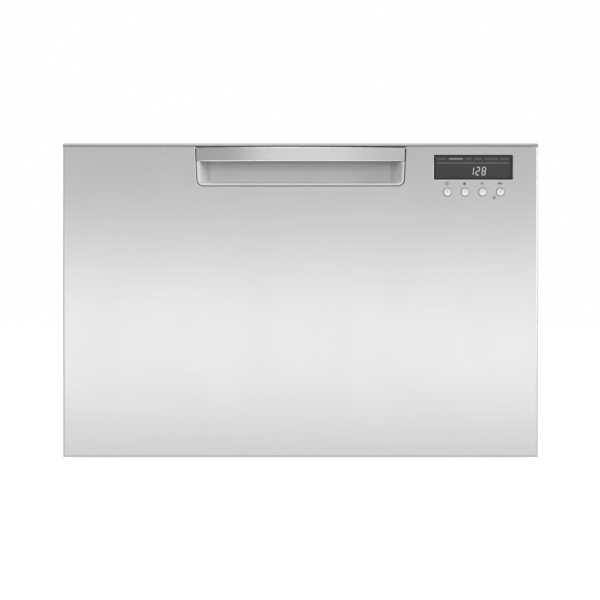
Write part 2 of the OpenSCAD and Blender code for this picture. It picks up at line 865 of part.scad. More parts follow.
module runner_outer() {
    color("silver") on_runner() difference() {
        slab(runner_mid_y - runner_l / 2, runner_mid_y + runner_l / 2)
            channel(0, runner_w - 1.2, runner_h / 2, 0, [[ball_x1, row_1]]);
        for (y = runner_screws)
            translate([-1, runner_mid_y + y, 0]) rod_x(2.2, 4);
    }
}

module runner_middle() {
    l = runner_l - 10;
    color("silver") on_runner() difference() {
        slab(runner_mid_y - l / 2, runner_mid_y + l / 2)
            channel(mid_x, runner_w - 1.2, mid_out, mid_x, [[ball_x1, row_1], [ball_x2, row_2]]);
        // the outer section is screwed on through these
        for (y = runner_screws)
            translate([2, runner_mid_y + y, 0]) rod_x(4.5, 4);
    }
}

module runner_inner() {
    color("silver") on_runner() difference() {
        slab(runner_mid_y - runner_l / 2, runner_mid_y + runner_l / 2)
            channel(in_x, runner_w, in_out, runner_w - runner_t, [[ball_x2, row_2]]);
        for (y = bracket_screws)
            translate([runner_w - 3, runner_mid_y + y, 0]) rod_x(2.2, 4);
    }
}

// A strip that keeps the balls of one stage apart, with the balls in it
module ball_cage(row, ball_x, web_x, l, y) {
    t = 0.5;
    pitch = (l - 12) / (balls - 1);
    color("gold") translate([0, y, 0]) difference() {
        slab(-l / 2, l / 2) {
            translate([web_x, -row - t / 2]) square([t, 2 * row + t]);
            for (s = [-1, 1]) translate([web_x, s * row - t / 2]) square([ball_x + 2.9 - web_x, t]);
        }
        for (s = [-1, 1], n = [0:balls - 1])
            translate([ball_x, -l / 2 + 6 + n * pitch, s * row - 3]) cylinder(r = ball_d / 2 + 0.12, h = 6);
    }
    color("gray") for (s = [-1, 1], n = [0:balls - 1])
        translate([ball_x, y - l / 2 + 6 + n * pitch, s * row]) sphere(ball_d / 2, $fn = 32);
}

cage_l = 190;

module outer_ball_cages() {
    both_sides() on_runner() ball_cage(row_1, ball_x1, 2.1, cage_l, runner_mid_y);
}

module inner_ball_cages() {
    both_sides() on_runner() ball_cage(row_2, ball_x2, 5.15, cage_l, runner_mid_y);
}

/* Lid */

lid_z0 = rim_z + seat + seal_h;
lid_top = lid_z0 + lid_t + lid_rib;
gear_y = tub_y + 70;
gear_x0 = rim_x + 6;
gear_w = 6;
rack_line = gear_y - gear_m * pinion_teeth / 2;
gear_z = rim_z + 18;
guide_dy = 165;
lug_w = 8;

// Involute of a base circle, as a point at roll angle a in degrees
function involute(base, a) =
    let (roll = a * PI / 180) base * [cos(a) + roll * sin(a), sin(a) - roll * cos(a)];

function turned(p, a) = [p[0] * cos(a) - p[1] * sin(a), p[0] * sin(a) + p[1] * cos(a)];

module pinion_outline(m, n, play) {
    pressure = 20;
    pitch_r = m * n / 2;
    base = pitch_r * cos(pressure);
    tip = pitch_r + 0.9 * m;
    root = pitch_r - 1.2 * m;
    tip_roll = sqrt(pow(tip / base, 2) - 1) * 180 / PI;
    inv = tan(pressure) * 180 / PI - pressure;
    half = 90 / n + inv - play / pitch_r * 90 / PI;
    steps = 5;
    flank = [for (i = [0:steps]) involute(base, tip_roll * i / steps)];
    intersection() {
        circle(tip, $fn = 90);
        union() {
            circle(root, $fn = 90);
            for (t = [0:n - 1]) rotate(t * 360 / n) polygon(concat(
                [[0, 0], turned([root, 0], -half)],
                [for (p = flank) turned(p, -half)],
                [for (i = [steps:-1:0]) turned([flank[i][0], -flank[i][1]], half)],
                [turned([root, 0], half)]
            ));
        }
    }
}

// Rack teeth in Y and Z: a straight back with teeth that point to +Y
module rack_outline(m, z0, z1, back, play) {
    pitch = PI * m;
    slope = tan(20) * m;
    add = 0.8;
    ded = 1.15;
    half = pitch / 4 - play / 2;
    first = floor((z0 - gear_z) / pitch);
    last = ceil((z1 - gear_z) / pitch);
    intersection() {
        translate([rack_line - back, z0]) square([back + 3 * m, z1 - z0]);
        union() {
            translate([rack_line - back, z0 - pitch]) square([back - ded * m, z1 - z0 + 2 * pitch]);
            for (k = [first:last]) translate([rack_line, gear_z + (k + 0.5) * pitch]) polygon([
                [-ded * m - eps, -half - ded * slope], [add * m, -half + add * slope],
                [add * m, half - add * slope], [-ded * m - eps, half + ded * slope]
            ]);
        }
    }
}

// Rim outline of the tub in plan
module rim_plan(inset) {
    translate([0, tub_y])
        rrect(2 * (rim_x - inset), 2 * (rim_dy - inset), tub_r - inset);
}

module lid_panel() {
    ribs_x = [-180, -90, 0, 90, 180];
    ribs_y = [-150, -75, 0, 75, 150];
    color("whitesmoke") union() {
        translate([0, 0, lid_z0]) linear_extrude(lid_t) rim_plan(0);
        // upturned wall and a grid of ribs
        translate([0, 0, lid_z0]) linear_extrude(lid_t + lid_rib) difference() {
            rim_plan(0);
            rim_plan(3);
        }
        intersection() {
            translate([0, 0, lid_z0]) linear_extrude(lid_t + lid_rib - 2) rim_plan(1);
            union() {
                for (x = ribs_x) box([x - 1, -300, 0], [x + 1, 300, 500]);
                for (y = ribs_y) box([-300, tub_y + y - 1, 0], [300, tub_y + y + 1, 500]);
            }
        }
        // lip inside the seal, with the tub's air slot
        translate([0, 0, lid_z0 - 2]) linear_extrude(3) difference() {
            rim_plan(rim_w + tub_wall + 2);
            rim_plan(rim_w + tub_wall + 4);
        }
        both_sides() {
            // lugs in the guides
            for (y = [-1, 1]) box([rim_x - 1, tub_y + y * guide_dy - lug_w / 2, lid_z0 + 1],
                [side_x - 5, tub_y + y * guide_dy + lug_w / 2, lid_top - 1]);
            // toothed rack and its arm
            box([rim_x - 1, rack_line - 8, lid_z0 + 1], [gear_x0 + eps, rack_line - 3, lid_top]);
            across(gear_x0, gear_x0 + gear_w)
                rack_outline(gear_m, rim_z + 1.2, lid_top + 6, 8, 0.12);
        }
    }
}

// Bulb seal on a flat foot, on the lid's underside
module lid_seal() {
    mid = (rim_w + tub_wall) / 2;
    color([0.3, 0.3, 0.32]) union() {
        translate([0, 0, lid_z0 - 1.5 - 0.02]) linear_extrude(1.5) difference() {
            rim_plan(mid - 4);
            rim_plan(mid + 4);
        }
        translate([0, 0, rim_z + seat]) linear_extrude(seal_h - 1) difference() {
            rim_plan(mid - 2.2);
            rim_plan(mid + 2.2);
        }
    }
}

module lid_pinion() {
    color("ivory") translate([gear_x0, gear_y, gear_z]) union() {
        rotate([90, 0, 90]) linear_extrude(gear_w)
            rotate(180) pinion_outline(gear_m, pinion_teeth, 0.12);
        rod_x(2.5, gear_w + 6);
    }
}

// Gear-motor that turns a lid pinion, screwed to the chassis side
module lid_actuator() {
    x0 = gear_x0 + gear_w + seat;
    color("gray") difference() {
        union() {
            box([x0, gear_y - 14, rim_z + 1], [side_x - 0.1, gear_y + 34, chassis_top - 8]);
            translate([side_x - 7.2, gear_y + 33, gear_z + 4]) rod_y(7, 34);
            translate([side_x - 7.2, gear_y + 66, gear_z + 4]) rod_y(2.5, 5);
        }
        translate([x0 - 1, gear_y, gear_z]) rod_x(2.5 + run_gap, 7.2);
    }
}

/* Folding link that carries hoses and cable */

link_x = link_in - side_x;
link_l = -2 * link_x;
link_y = rim_y1 + 33;
arm_gap = 2;
link_z2 = link_z + link_t + arm_gap;

// A channel-shaped arm from its pivot towards +X
module link_arm(l, pin_r) {
    difference() {
        union() {
            hull() {
                $fn = hull_fn;
                cylinder(r = link_w / 2, h = link_t);
                translate([l, 0, 0]) cylinder(r = link_w / 2, h = link_t);
            }
        }
        // the trough for the hoses
        translate([link_w / 2 + 3, -link_w / 2 + 2, 2]) cube([l - link_w - 6, link_w - 4, link_t]);
        for (n = [0:8]) translate([60 + n * (l - 120) / 8, 0, -1])
            linear_extrude(4) rrect(26, 12, 5.9);
        translate([0, 0, -1]) cylinder(r = pin_r + run_gap, h = link_t + 2);
    }
}

module link_arm_chassis() {
    color("dimgray") translate([link_x, link_y, link_z]) union() {
        difference() {
            link_arm(link_l, link_pin);
            translate([link_l, 0, -1]) cylinder(r = link_pin + run_gap, h = link_t + 2);
        }
    }
}

// The second arm lies over the first and points back to the pivots' side
module link_arm_tub() {
    color("dimgray") translate([link_x, link_y, link_z2]) union() {
        difference() {
            translate([link_l, 0, 0]) mirror([1, 0, 0]) link_arm(link_l, link_pin - 2);
            translate([0, 0, link_t - 4]) cylinder(r = link_w, h = 10);
        }
        // elbow pin down through the first arm
        translate([link_l, 0, -link_t - arm_gap - 2]) cylinder(r = link_pin, h = 2 * link_t);
        // pin up into the tub's slotted anchor
        cylinder(r = link_pin, h = link_t + 10);
    }
}

// Hinge bracket on the back panel
module link_mount() {
    color("gray") translate([link_x, link_y, 0]) union() {
        box([-14, link_w / 2 + 2, link_z - 12], [14, back_in - link_y - seat, link_z + link_t]);
        box([-14, -8, link_z - 8], [14, link_w / 2 + 6, link_z - seat]);
        translate([0, 0, link_z - 6]) cylinder(r = link_pin, h = link_t + 5);
    }
}

// Slotted bracket behind the tub that drags the second arm along
module link_anchor() {
    z0 = link_z2 + link_t + 0.6;
    y0 = tub_y + body_dy - lean(z0);
    color("gray") translate([link_x, 0, 0]) difference() {
        union() {
            box([-16, y0 + 1, z0], [16, link_y + 10, z0 + 6]);
            box([-16, y0 + 1, z0 - 20], [16, y0 + 5, z0 + 26]);
            for (x = [-16, 13]) translate([x, 0, 0]) across(0, 3)
                polygon([[y0 + 4, z0 + 5], [link_y + 4, z0 + 5], [y0 + 4, z0 + 26]]);
        }
        translate([0, 0, z0 - 1]) linear_extrude(10) {
            translate([-link_pin - 0.4, link_y - link_slot]) square([2 * link_pin + 0.8, link_slot]);
            translate([0, link_y]) circle(link_pin + 0.4);
            translate([0, link_y - link_slot]) circle(link_pin + 0.4);
        }
    }
}

/* Tub */

sump_z = tub_floor - tub_wall - sump_d;

// How far a wall leans in at a height
function lean(z) = tub_draft * (rim_z - 1 - z) / (rim_z - 1 - tub_floor + tub_wall - tub_foot_r);

module at_outlet() {
    translate([0, tub_y, sump_z + 9]) rotate(-60) translate([0, 66, 0]) children();
}

// The tub's outside or inside: leaning walls, round corners and a round foot
module tub_form(inset, up) {
    $fn = hull_fn;
    hull() {
        for (x = [-1, 1], y = [-1, 1]) {
            translate([x * (body_x - tub_r), tub_y + y * (body_dy - tub_r), rim_z - 1])
                cylinder(r = tub_r - inset, h = 1 + up);
            translate([x * (body_x - tub_draft - tub_foot_r), tub_y + y * (body_dy - tub_draft - tub_foot_r),
                tub_floor - tub_wall + tub_foot_r]) sphere(tub_foot_r - inset);
        }
    }
}

module tub() {
    color("gainsboro") difference() {
        union() {
            tub_form(0, 0);
            // rim flange with a turned-down lip
            translate([0, 0, rim_z - rim_t]) linear_extrude(rim_t) rim_plan(0);
            // sump and its ribs
            translate([0, tub_y, sump_z]) cylinder(r = sump_r + tub_wall, h = sump_d + 1);
            for (a = [0:45:135]) translate([0, tub_y, 0]) rotate(a)
                box([-190, -1.5, sump_z + 4], [190, 1.5, tub_floor - 1]);
            // flat pad for the dispenser
            box([-disp_w / 2 - 6, rim_y0 + rim_w - 3, disp_z - disp_h / 2 - 6],
                [disp_w / 2 + 6, disp_wall + 1, disp_z + disp_h / 2 + 6]);
            // screw bosses for the front frame
            for (x = [-1, 1]) translate([x * screw_x, frame_y + 0.2, screw_z[1]]) rod_y(7, 14);
            // screw straps under the tub's front edge
            for (x = [-1, 1]) translate([x * screw_x, 0, 0]) {
                box([-9, frame_y + 0.2, screw_z[0] - 10], [9, frame_y + 3.2, tub_floor + 30]);
                box([-1.5, frame_y + 0.2, screw_z[0] - 10], [1.5, frame_y + 40, tub_floor + 20]);
            }
            // drain stub
            at_outlet() rod_y(9, 52);
        }
        tub_form(tub_wall, 10);
        translate([0, tub_y, sump_z + tub_wall]) cylinder(r = sump_r, h = sump_d + 4);
        // dispenser opening
        box([-disp_w / 2, rim_y0 - 5, disp_z - disp_h / 2], [disp_w / 2, rim_y0 + 40, disp_z + disp_h / 2]);
        // pump shaft and drain outlet
        translate([0, tub_y, sump_z - 1]) cylinder(r = 7, h = 10);
        at_outlet() translate([0, -1, 0]) rod_y(7, 60);
        for (x = [-1, 1], z = screw_z) translate([x * screw_x, frame_y - 1, z]) rod_y(2.2, 9);
    }
}

// Long angle brackets that hang the tub on the inner runners
module tub_brackets() {
    color("silver") both_sides() difference() {
        slab(runner_mid_y - runner_l / 2 + 6, runner_mid_y + runner_l / 2 - 26) {
            translate([bracket_x - bracket_t, runner_z - 16]) square([bracket_t, rim_z - rim_t - runner_z + 16 - 0.1]);
            translate([body_x + 1, rim_z - rim_t - 2.1]) square([bracket_x - body_x - 1, 2]);
        }
        for (y = bracket_screws)
            translate([bracket_x - 5, runner_mid_y + y, runner_z]) rod_x(2.2, 10);
    }
}

/* Dispenser in the tub's front wall */

disp_w = 156;
disp_h = 58;
disp_z = rim_z - 35;
disp_wall = tub_y - body_dy + lean(disp_z - disp_h / 2 - 6) + tub_wall + 0.2;
cup_x = -34;
cup_w = 70;
cup_h = 42;
door_t = 2.5;
cap_x = 44;
cap_r = 15;
hinge_z = disp_z - cup_h / 2 - 3;
face_y = disp_wall + 3;
hinge_y = face_y + 2;

module dispenser() {
    color("gainsboro") difference() {
        union() {
            slab(disp_wall + 0.2, face_y) translate([0, disp_z]) rrect(disp_w + 14, disp_h + 12, 8);
            slab(frame_y - 10, disp_wall + 1) translate([0, disp_z])
                rrect(disp_w - 0.8, disp_h - 0.8, 4);
            // hinge ears
            for (x = [-cup_w / 2 - 3.4, cup_w / 2 + 0.4])
                box([cup_x + x, face_y - 1, hinge_z - 3], [cup_x + x + 3, face_y + 4.6, hinge_z + 3]);
        }
        // detergent cup
        slab(frame_y - 7, face_y + 1) translate([cup_x, disp_z + 1]) rrect(cup_w - 6, cup_h - 6, 8);
        // rinse aid neck
        translate([cap_x, frame_y - 7, disp_z]) rod_y(cap_r - 4, 60);
        translate([cup_x - 60, hinge_y, hinge_z]) rod_x(1.5 + run_gap, 120);
    }
}

// Detergent flap, hinged along its lower edge
module dispenser_door() {
    color("gray") union() {
        slab(face_y + 0.3, face_y + 0.3 + door_t) translate([cup_x, disp_z])
            rrect(cup_w - 1, cup_h + 2, 4);
        box([cup_x - cup_w / 2 + 1, face_y + 0.8, hinge_z], [cup_x + cup_w / 2 - 1, face_y + 2.7, hinge_z + 4]);
        translate([cup_x - cup_w / 2 - 3.2, hinge_y, hinge_z]) rod_x(1.5, cup_w + 6.4);
        // latch nose
        box([cup_x - 5, face_y + 0.5, disp_z + cup_h / 2], [cup_x + 5, face_y + 2.5, disp_z + cup_h / 2 + 4]);
    }
}

// Quarter-turn cap of the rinse aid tank
module rinse_cap() {
    color("gray") translate([cap_x, 0, disp_z]) difference() {
        union() {
            translate([0, face_y + 0.3, 0]) rod_y(cap_r, 3);
            translate([0, face_y - 8, 0]) rod_y(cap_r - 4.2, 9);
            slab(face_y + 3, face_y + 7) rrect(2 * cap_r - 6, 6, 2.9);
        }
        translate([0, face_y - 9, 0]) rod_y(cap_r - 6.5, 8);
    }
}

/* Wash system */

plate_z = tub_floor + 0.3;
plate_r = 138;
filter_x = 36;
filter_y = -36;
filter_r = 22;
arm_z = plate_z + 12 + seat;

// Perforated plate over the sump, with the post for the spray arm
module filter_plate() {
    color("silver") translate([0, tub_y, 0]) difference() {
        union() {
            translate([0, 0, plate_z]) cylinder(r = plate_r, h = 2);
            translate([0, 0, plate_z]) cylinder(r1 = 24, r2 = 16, h = 12);
            translate([0, 0, plate_z]) cylinder(r = post_r, h = arm_z - plate_z + arm_t + 4.8);
            translate([0, 0, arm_z + arm_t + 2 + seat]) cylinder(r = post_r + 3, h = 2.5);
        }
        for (ring = [0:5]) let (r = 36 + ring * 17, count = floor(r * 0.42))
            for (n = [0:count - 1]) let (a = n * 360 / count + ring * 7)
                if (norm([r * cos(a) - filter_x, r * sin(a) - filter_y]) > filter_r + 5)
                    translate([r * cos(a), r * sin(a), plate_z - 1]) cylinder(r = 3, h = 5);
        translate([filter_x, filter_y, plate_z - 1]) cylinder(r = filter_r + 0.2, h = 5);
        translate([0, 0, plate_z - 1]) cylinder(r = 4, h = 30);
    }
}

// Drain filter that turns out of the plate by its finger bar, with a sieve below
module drain_filter() {
    z0 = sump_z + tub_wall + 1;
    bore = filter_r - 3;
    color("dimgray") translate([filter_x, tub_y + filter_y, 0]) difference() {
        union() {
            translate([0, 0, plate_z + 2.2]) cylinder(r = filter_r + 3, h = 2);
            translate([0, 0, z0]) cylinder(r = filter_r - 1, h = plate_z + 3 - z0);
        }
        translate([0, 0, z0 + 1.5]) difference() {
            cylinder(r = bore, h = 30);
            box([-bore, -2, plate_z - z0 - 6], [bore, 2, 30]);
        }
        for (a = [0:30:330]) rotate(a) translate([filter_r - 5, -2, z0 + 4]) cube([8, 4, 8]);
    }
}

module spray_arm() {
    color("gray") translate([0, tub_y, arm_z]) difference() {
        union() {
            for (s = [0, 180]) rotate(s) hull() {
                $fn = hull_fn;
                cylinder(r1 = 20, r2 = 18, h = arm_t);
                translate([arm_r * 0.55, 8, 0]) cylinder(r1 = 17, r2 = 12, h = arm_t - 1);
            }
            for (s = [0, 180]) rotate(s) hull() {
                $fn = hull_fn;
                translate([arm_r * 0.55, 8, 0]) cylinder(r1 = 17, r2 = 12, h = arm_t - 1);
                translate([arm_r - 11, -4, 0]) cylinder(r1 = 11, r2 = 7, h = arm_t - 3);
            }
            cylinder(r = 24, h = arm_t + 2);
        }
        translate([0, 0, -1]) cylinder(r = post_r + run_gap, h = 40);
        // jets
        for (s = [0, 180], n = [0:4]) rotate(s)
            translate([50 + n * 31, 4 - n, arm_t - 6]) linear_extrude(10) rrect(9, 2.6, 1.25);
    }
}

motor_z1 = tub_floor - tub_wall - sump_d - seat;
motor_h = motor_z1 - base_z - 12;

// Motor housing under the sump
module wash_motor() {
    color("gray") translate([0, tub_y, motor_z1 - motor_h]) difference() {
        union() {
            cylinder(r = 60, h = motor_h);
            for (a = [45:90:315]) rotate(a) translate([66, 0, motor_h - 8]) cylinder(r = 8, h = 8);
            for (a = [0:20:340]) rotate(a) translate([58, -1, 4]) cube([6, 2, motor_h - 14]);
        }
        translate([0, 0, 3]) cylinder(r = 52, h = motor_h - 7);
        translate([0, 0, motor_h - 6]) cylinder(r = 6 + run_gap, h = 10);
    }
}

// Rotor with its magnet ring, shaft and impeller
module wash_rotor() {
    color("silver") translate([0, tub_y, motor_z1 - motor_h]) union() {
        difference() {
            translate([0, 0, 6]) cylinder(r = 50, h = motor_h - 13);
            translate([0, 0, 9]) cylinder(r = 44, h = motor_h);
        }
        translate([0, 0, 4]) cylinder(r = 6, h = motor_h + 5);
        translate([0, 0, motor_h + 4.5]) cylinder(r = 26, h = 2);
        for (a = [0:60:300]) rotate(a) translate([6, -1, motor_h + 6]) cube([18, 2, 5]);
    }
}

/* Racks */

rack_x = floor_x - 6;
rack_dy = floor_dy - 8;
rack_z = tub_floor + rack_lift;
rack_top = rack_z + rack_h;
loop_r = 28;
wire_gap = 0.05;
cross_n = floor((rack_dy - loop_r - 4) / cross_pitch);
long_n = floor((rack_x - loop_r - 6) / long_pitch);

// A closed wire loop with round corners, given to its centreline
module wire_loop(x, y, r) {
    for (s = [-1, 1]) {
        translate([-x + r, s * y, 0]) rod_x(wire_d / 2, 2 * (x - r));
        translate([s * x, -y + r, 0]) rod_y(wire_d / 2, 2 * (y - r));
    }
    for (q = [0:3]) {
        sx = (q == 0 || q == 3) ? 1 : -1;
        sy = q < 2 ? 1 : -1;
        translate([sx * (x - r), sy * (y - r), 0]) rotate(q * 90)
            rotate_extrude(angle = 90) translate([r, 0]) circle(wire_d / 2);
    }
}

// A U-shaped wire in X and Z, with its foot at z 0, given to its centreline
module u_wire(half, h, r) {
    translate([-half + r, 0, 0]) rod_x(wire_d / 2, 2 * (half - r));
    for (s = [-1, 1]) {
        translate([s * half, 0, r]) cylinder(r = wire_d / 2, h = h - r);
        translate([s * (half - r), 0, r]) rotate([90, 0, 0]) rotate(s > 0 ? 270 : 180)
            rotate_extrude(angle = 90) translate([r, 0]) circle(wire_d / 2);
    }
}

module dish_rack() {
    in = wire_d + wire_gap;
    color("gray") translate([0, tub_y, 0]) {
        for (z = [rack_top, rack_z + rack_h / 2]) translate([0, 0, z]) wire_loop(rack_x, rack_dy, loop_r);
        for (n = [-cross_n:cross_n]) translate([0, n * cross_pitch, rack_z])
            u_wire(rack_x - in, rack_h, 12);
        for (n = [-long_n:long_n]) translate([n * long_pitch, 0, rack_z + in]) rotate(90)
            u_wire(rack_dy - in, rack_h - in, 12);
        // feet that stand on the tub's floor
        for (x = [-1, 1], n = [-cross_n, cross_n]) translate([x * 180, n * cross_pitch, tub_floor + seat])
            cylinder(r1 = 7, r2 = 5, h = rack_lift - wire_d / 2 - seat - wire_gap);
    }
}

// A row of welded tines on a rod that folds back
module tine_row(y) {
    z = tine_z;
    w = (tines - 1) / 2 * tine_pitch + 8;
    color("gray") translate([0, tub_y + y, z]) {
        translate([-w, 0, 0]) rod_x(wire_d / 2, 2 * w);
        for (n = [0:tines - 1])
            translate([(n - (tines - 1) / 2) * tine_pitch, -wire_d - wire_gap, -1]) union() {
                cylinder(r = wire_d / 2, h = tine_h);
                translate([0, 0, tine_h]) sphere(wire_d / 2);
            }
    }
}

tine_z = rack_z + 2 * wire_d + 3 * wire_gap;
tine_y = -50;

module tine_row_front() {
    tine_row(tine_y);
}

module tine_row_rear() {
    tine_row(tine_y + tine_rows);
}

basket_in = 15;  // clear of the bent feet of the rack's wires
basket_w = 200;
basket_d = 58;
basket_h = 100;

// Slotted cutlery basket with three bays and a carrying arch
module cutlery_basket() {
    z0 = rack_z + 1.5 * wire_d + 3 * wire_gap + 0.2;
    y0 = tub_y - rack_dy + basket_in;
    wall = 2;
    arch_x = (basket_w - wall) / 6;
    color("darkgray") translate([0, y0 + basket_d / 2, z0]) difference() {
        union() {
            linear_extrude(basket_h) rrect(basket_w, basket_d, 8);
            // carrying arch that stands on the inner walls
            slab(-2.5, 2.5) difference() {
                translate([0, basket_h - 2]) rrect(2 * arch_x + 8, 60, 14);
                translate([0, basket_h - 2]) rrect(2 * arch_x - 6, 46, 8);
                translate([-60, -40]) square([120, basket_h + 38]);
            }
        }
        for (b = [-1:1]) translate([b * (basket_w - wall) / 3, 0, wall])
            linear_extrude(basket_h - wall + eps) rrect((basket_w - wall) / 3 - wall, basket_d - 2 * wall, 6);
        // slots in the long walls
        for (s = [-1, 1], n = [-8:8], h = [0, 1])
            translate([n * 11, s * basket_d / 2, 0]) slab(-4, 4)
                translate([0, 28 + h * 42]) rrect(5, 32, 2.4);
        // drain holes
        for (b = [-1:1], n = [-2:2]) translate([b * (basket_w - wall) / 3 + n * 10, 0, -1])
            linear_extrude(5) rrect(4, 36, 1.9);
    }
}

// Moulded rack for cups that hangs on the rack's rim wire and folds up, at the right
module cup_rack() {
    clips = [-2.5, 0.5, 3.5];
    color("darkgray") translate([rack_x, tub_y, rack_top]) difference() {
        union() {
            // frame and bars
            difference() {
                box([-cup_reach, cup_y0, 3.2], [-3, cup_y0 + cup_l, 6.2]);
                for (n = [0:8]) translate([-cup_reach / 2 - 1, cup_y0 + 18 + n * (cup_l - 36) / 8, 2])
                    linear_extrude(6) rrect(cup_reach - 18, 20, 6);
            }
            box([-cup_reach, cup_y0, 3.2], [-cup_reach + 3, cup_y0 + cup_l, 12]);
            // clips round the rim wire
            for (c = clips) translate([0, c * cross_pitch - 5, 0]) {
                rod_y(wire_d / 2 + 2.2, 10);
                box([-4, 0, 0.5], [-0.5, 10, 5]);
            }
        }
        for (c = clips) translate([0, c * cross_pitch - 6, 0]) {
            rod_y(wire_d / 2 + run_gap, 12);
            box([-wire_d / 2 + 0.3, 0, -8], [wire_d / 2 - 0.3, 12, 0]);
        }
    }
}

cup_y0 = -110;

front_skin();
top_trim();
front_frame();
handle_pocket();
handle_bar();
display_lens();
control_board();
button_carrier();
status_light();
button_cap(0);  // power_button
button_cap(1);  // lock_button
button_cap(2);  // program_button
button_cap(3);  // start_button
mirror([1, 0, 0]) chassis_side();  // chassis_side_left
chassis_side();  // chassis_side_right
chassis_back();
base_pan();
levelling_feet();
brace_front();
brace_rear();
edge_gasket();
service_bay();
water_valve();
drain_spigot();
mains_box();
flood_float();
mirror([1, 0, 0]) runner_outer();  // runner_outer_left
runner_outer();  // runner_outer_right
mirror([1, 0, 0]) runner_middle();  // runner_middle_left
runner_middle();  // runner_middle_right
mirror([1, 0, 0]) runner_inner();  // runner_inner_left
runner_inner();  // runner_inner_right
outer_ball_cages();
inner_ball_cages();
lid_panel();
lid_seal();
mirror([1, 0, 0]) lid_actuator();  // lid_actuator_left
lid_actuator();  // lid_actuator_right
mirror([1, 0, 0]) lid_pinion();  // lid_pinion_left
lid_pinion();  // lid_pinion_right
link_arm_chassis();
link_arm_tub();
link_mount();
link_anchor();
tub();
tub_brackets();
filter_plate();
drain_filter();
spray_arm();
wash_motor();
wash_rotor();
dispenser();
dispenser_door();
rinse_cap();
dish_rack();
cutlery_basket();
tine_row_front();
tine_row_rear();
mirror([1, 0, 0]) cup_rack();  // cup_rack_left
cup_rack();  // cup_rack_right
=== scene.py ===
import math

import bmesh
import bpy
from mathutils import Matrix, Vector


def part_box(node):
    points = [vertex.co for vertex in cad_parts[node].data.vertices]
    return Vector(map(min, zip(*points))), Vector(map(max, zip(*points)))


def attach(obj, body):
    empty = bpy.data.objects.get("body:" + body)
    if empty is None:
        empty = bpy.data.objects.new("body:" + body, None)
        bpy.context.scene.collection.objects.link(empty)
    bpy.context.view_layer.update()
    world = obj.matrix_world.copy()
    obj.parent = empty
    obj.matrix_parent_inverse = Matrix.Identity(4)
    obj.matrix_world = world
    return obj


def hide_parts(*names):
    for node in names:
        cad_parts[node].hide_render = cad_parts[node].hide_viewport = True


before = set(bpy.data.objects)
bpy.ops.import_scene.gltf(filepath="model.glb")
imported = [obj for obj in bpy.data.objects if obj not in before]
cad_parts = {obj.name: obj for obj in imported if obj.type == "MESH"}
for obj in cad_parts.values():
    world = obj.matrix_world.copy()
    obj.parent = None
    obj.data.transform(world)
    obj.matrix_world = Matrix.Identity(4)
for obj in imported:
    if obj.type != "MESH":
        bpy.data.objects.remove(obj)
bpy.ops.object.select_all(action="DESELECT")
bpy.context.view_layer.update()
scene = bpy.context.scene
scene.view_settings.view_transform = "Standard"

MM = 0.001
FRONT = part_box("front_skin")[0].y          # face of the steel front
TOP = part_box("top_trim")[1].z              # top of the trim strip


def mm(*values):
    """A point or size given in millimetres."""
    return Vector([value * MM for value in values])


# ---------------------------------------------------------------- camera

def set_camera(distance=3.0, seen_width=0.7562, height=0.2012, shift=-0.0007):
    """Level and square on to the front, as the photograph was taken."""
    place = (shift, FRONT - distance, height)
    bpy.ops.object.camera_add(location=place, rotation=(math.radians(90), 0, 0))
    camera = bpy.context.object
    camera.name = "front_camera"
    camera.data.sensor_width = 36
    camera.data.lens = 36 * distance / seen_width
    scene.camera = camera


# ---------------------------------------------------------------- nodes

class Sheet:
    """A node tree that is filled by short calls."""

    def __init__(self, tree):
        self.tree = tree

    def put(self, socket, value):
        if isinstance(value, bpy.types.NodeSocket):
            self.tree.links.new(value, socket)
        else:
            socket.default_value = value

    def node(self, kind, given=None, **settings):
        made = self.tree.nodes.new("ShaderNode" + kind)
        for name, value in settings.items():
            setattr(made, name, value)
        for key, value in (given or {}).items():
            self.put(made.inputs[key], value)
        return made

    def maths(self, operation, *values, clamp=False):
        made = self.node("Math", operation=operation, use_clamp=clamp)
        for n, value in enumerate(values):
            self.put(made.inputs[n], value)
        return made.outputs[0]

    def ramp(self, value, low, high, to_low=0.0, to_high=1.0):
        """Maps a value between low and high to another range."""
        made = self.node("MapRange", {"Value": value, "From Min": low, "From Max": high,
                                      "To Min": to_low, "To Max": to_high})
        return made.outputs[0]

    def stretch(self, vector, factors):
        made = self.node("VectorMath", {0: vector, 1: factors}, operation="MULTIPLY")
        return made.outputs[0]

    def noise(self, vector, scale, detail=3.0, rough=0.5):
        made = self.node("TexNoise", {"Vector": vector, "Scale": scale, "Detail": detail,
                                      "Roughness": rough})
        return made.outputs["Fac"]

    def mix(self, share, first, second):
        """Mixes two colours by a share."""
        made = self.node("Mix", data_type="RGBA")
        self.put(made.inputs[0], share)
        self.put(made.inputs[6], (*first, 1) if isinstance(first, tuple) else first)
        self.put(made.inputs[7], (*second, 1) if isinstance(second, tuple) else second)
        return made.outputs[2]

    def group(self, tree, **values):
        made = self.tree.nodes.new("ShaderNodeGroup")
        made.node_tree = tree
        for name, value in values.items():
            self.put(made.inputs[name], value)
        return made.outputs


SOCKETS = {"value": "NodeSocketFloat", "vector": "NodeSocketVector"}


def new_group(name, takes, gives):
    """A node group with its sockets. takes maps a name to (kind, default)."""
    tree = bpy.data.node_groups.new(name, "ShaderNodeTree")
    for label, (kind, start) in takes.items():
        made = tree.interface.new_socket(name=label, in_out="INPUT", socket_type=SOCKETS[kind])
        if start is not None:
            made.default_value = start
    for label, kind in gives.items():
        tree.interface.new_socket(name=label, in_out="OUTPUT", socket_type=SOCKETS[kind])
    entry = tree.nodes.new("NodeGroupInput")
    leave = tree.nodes.new("NodeGroupOutput")
    return Sheet(tree), entry.outputs, leave.inputs


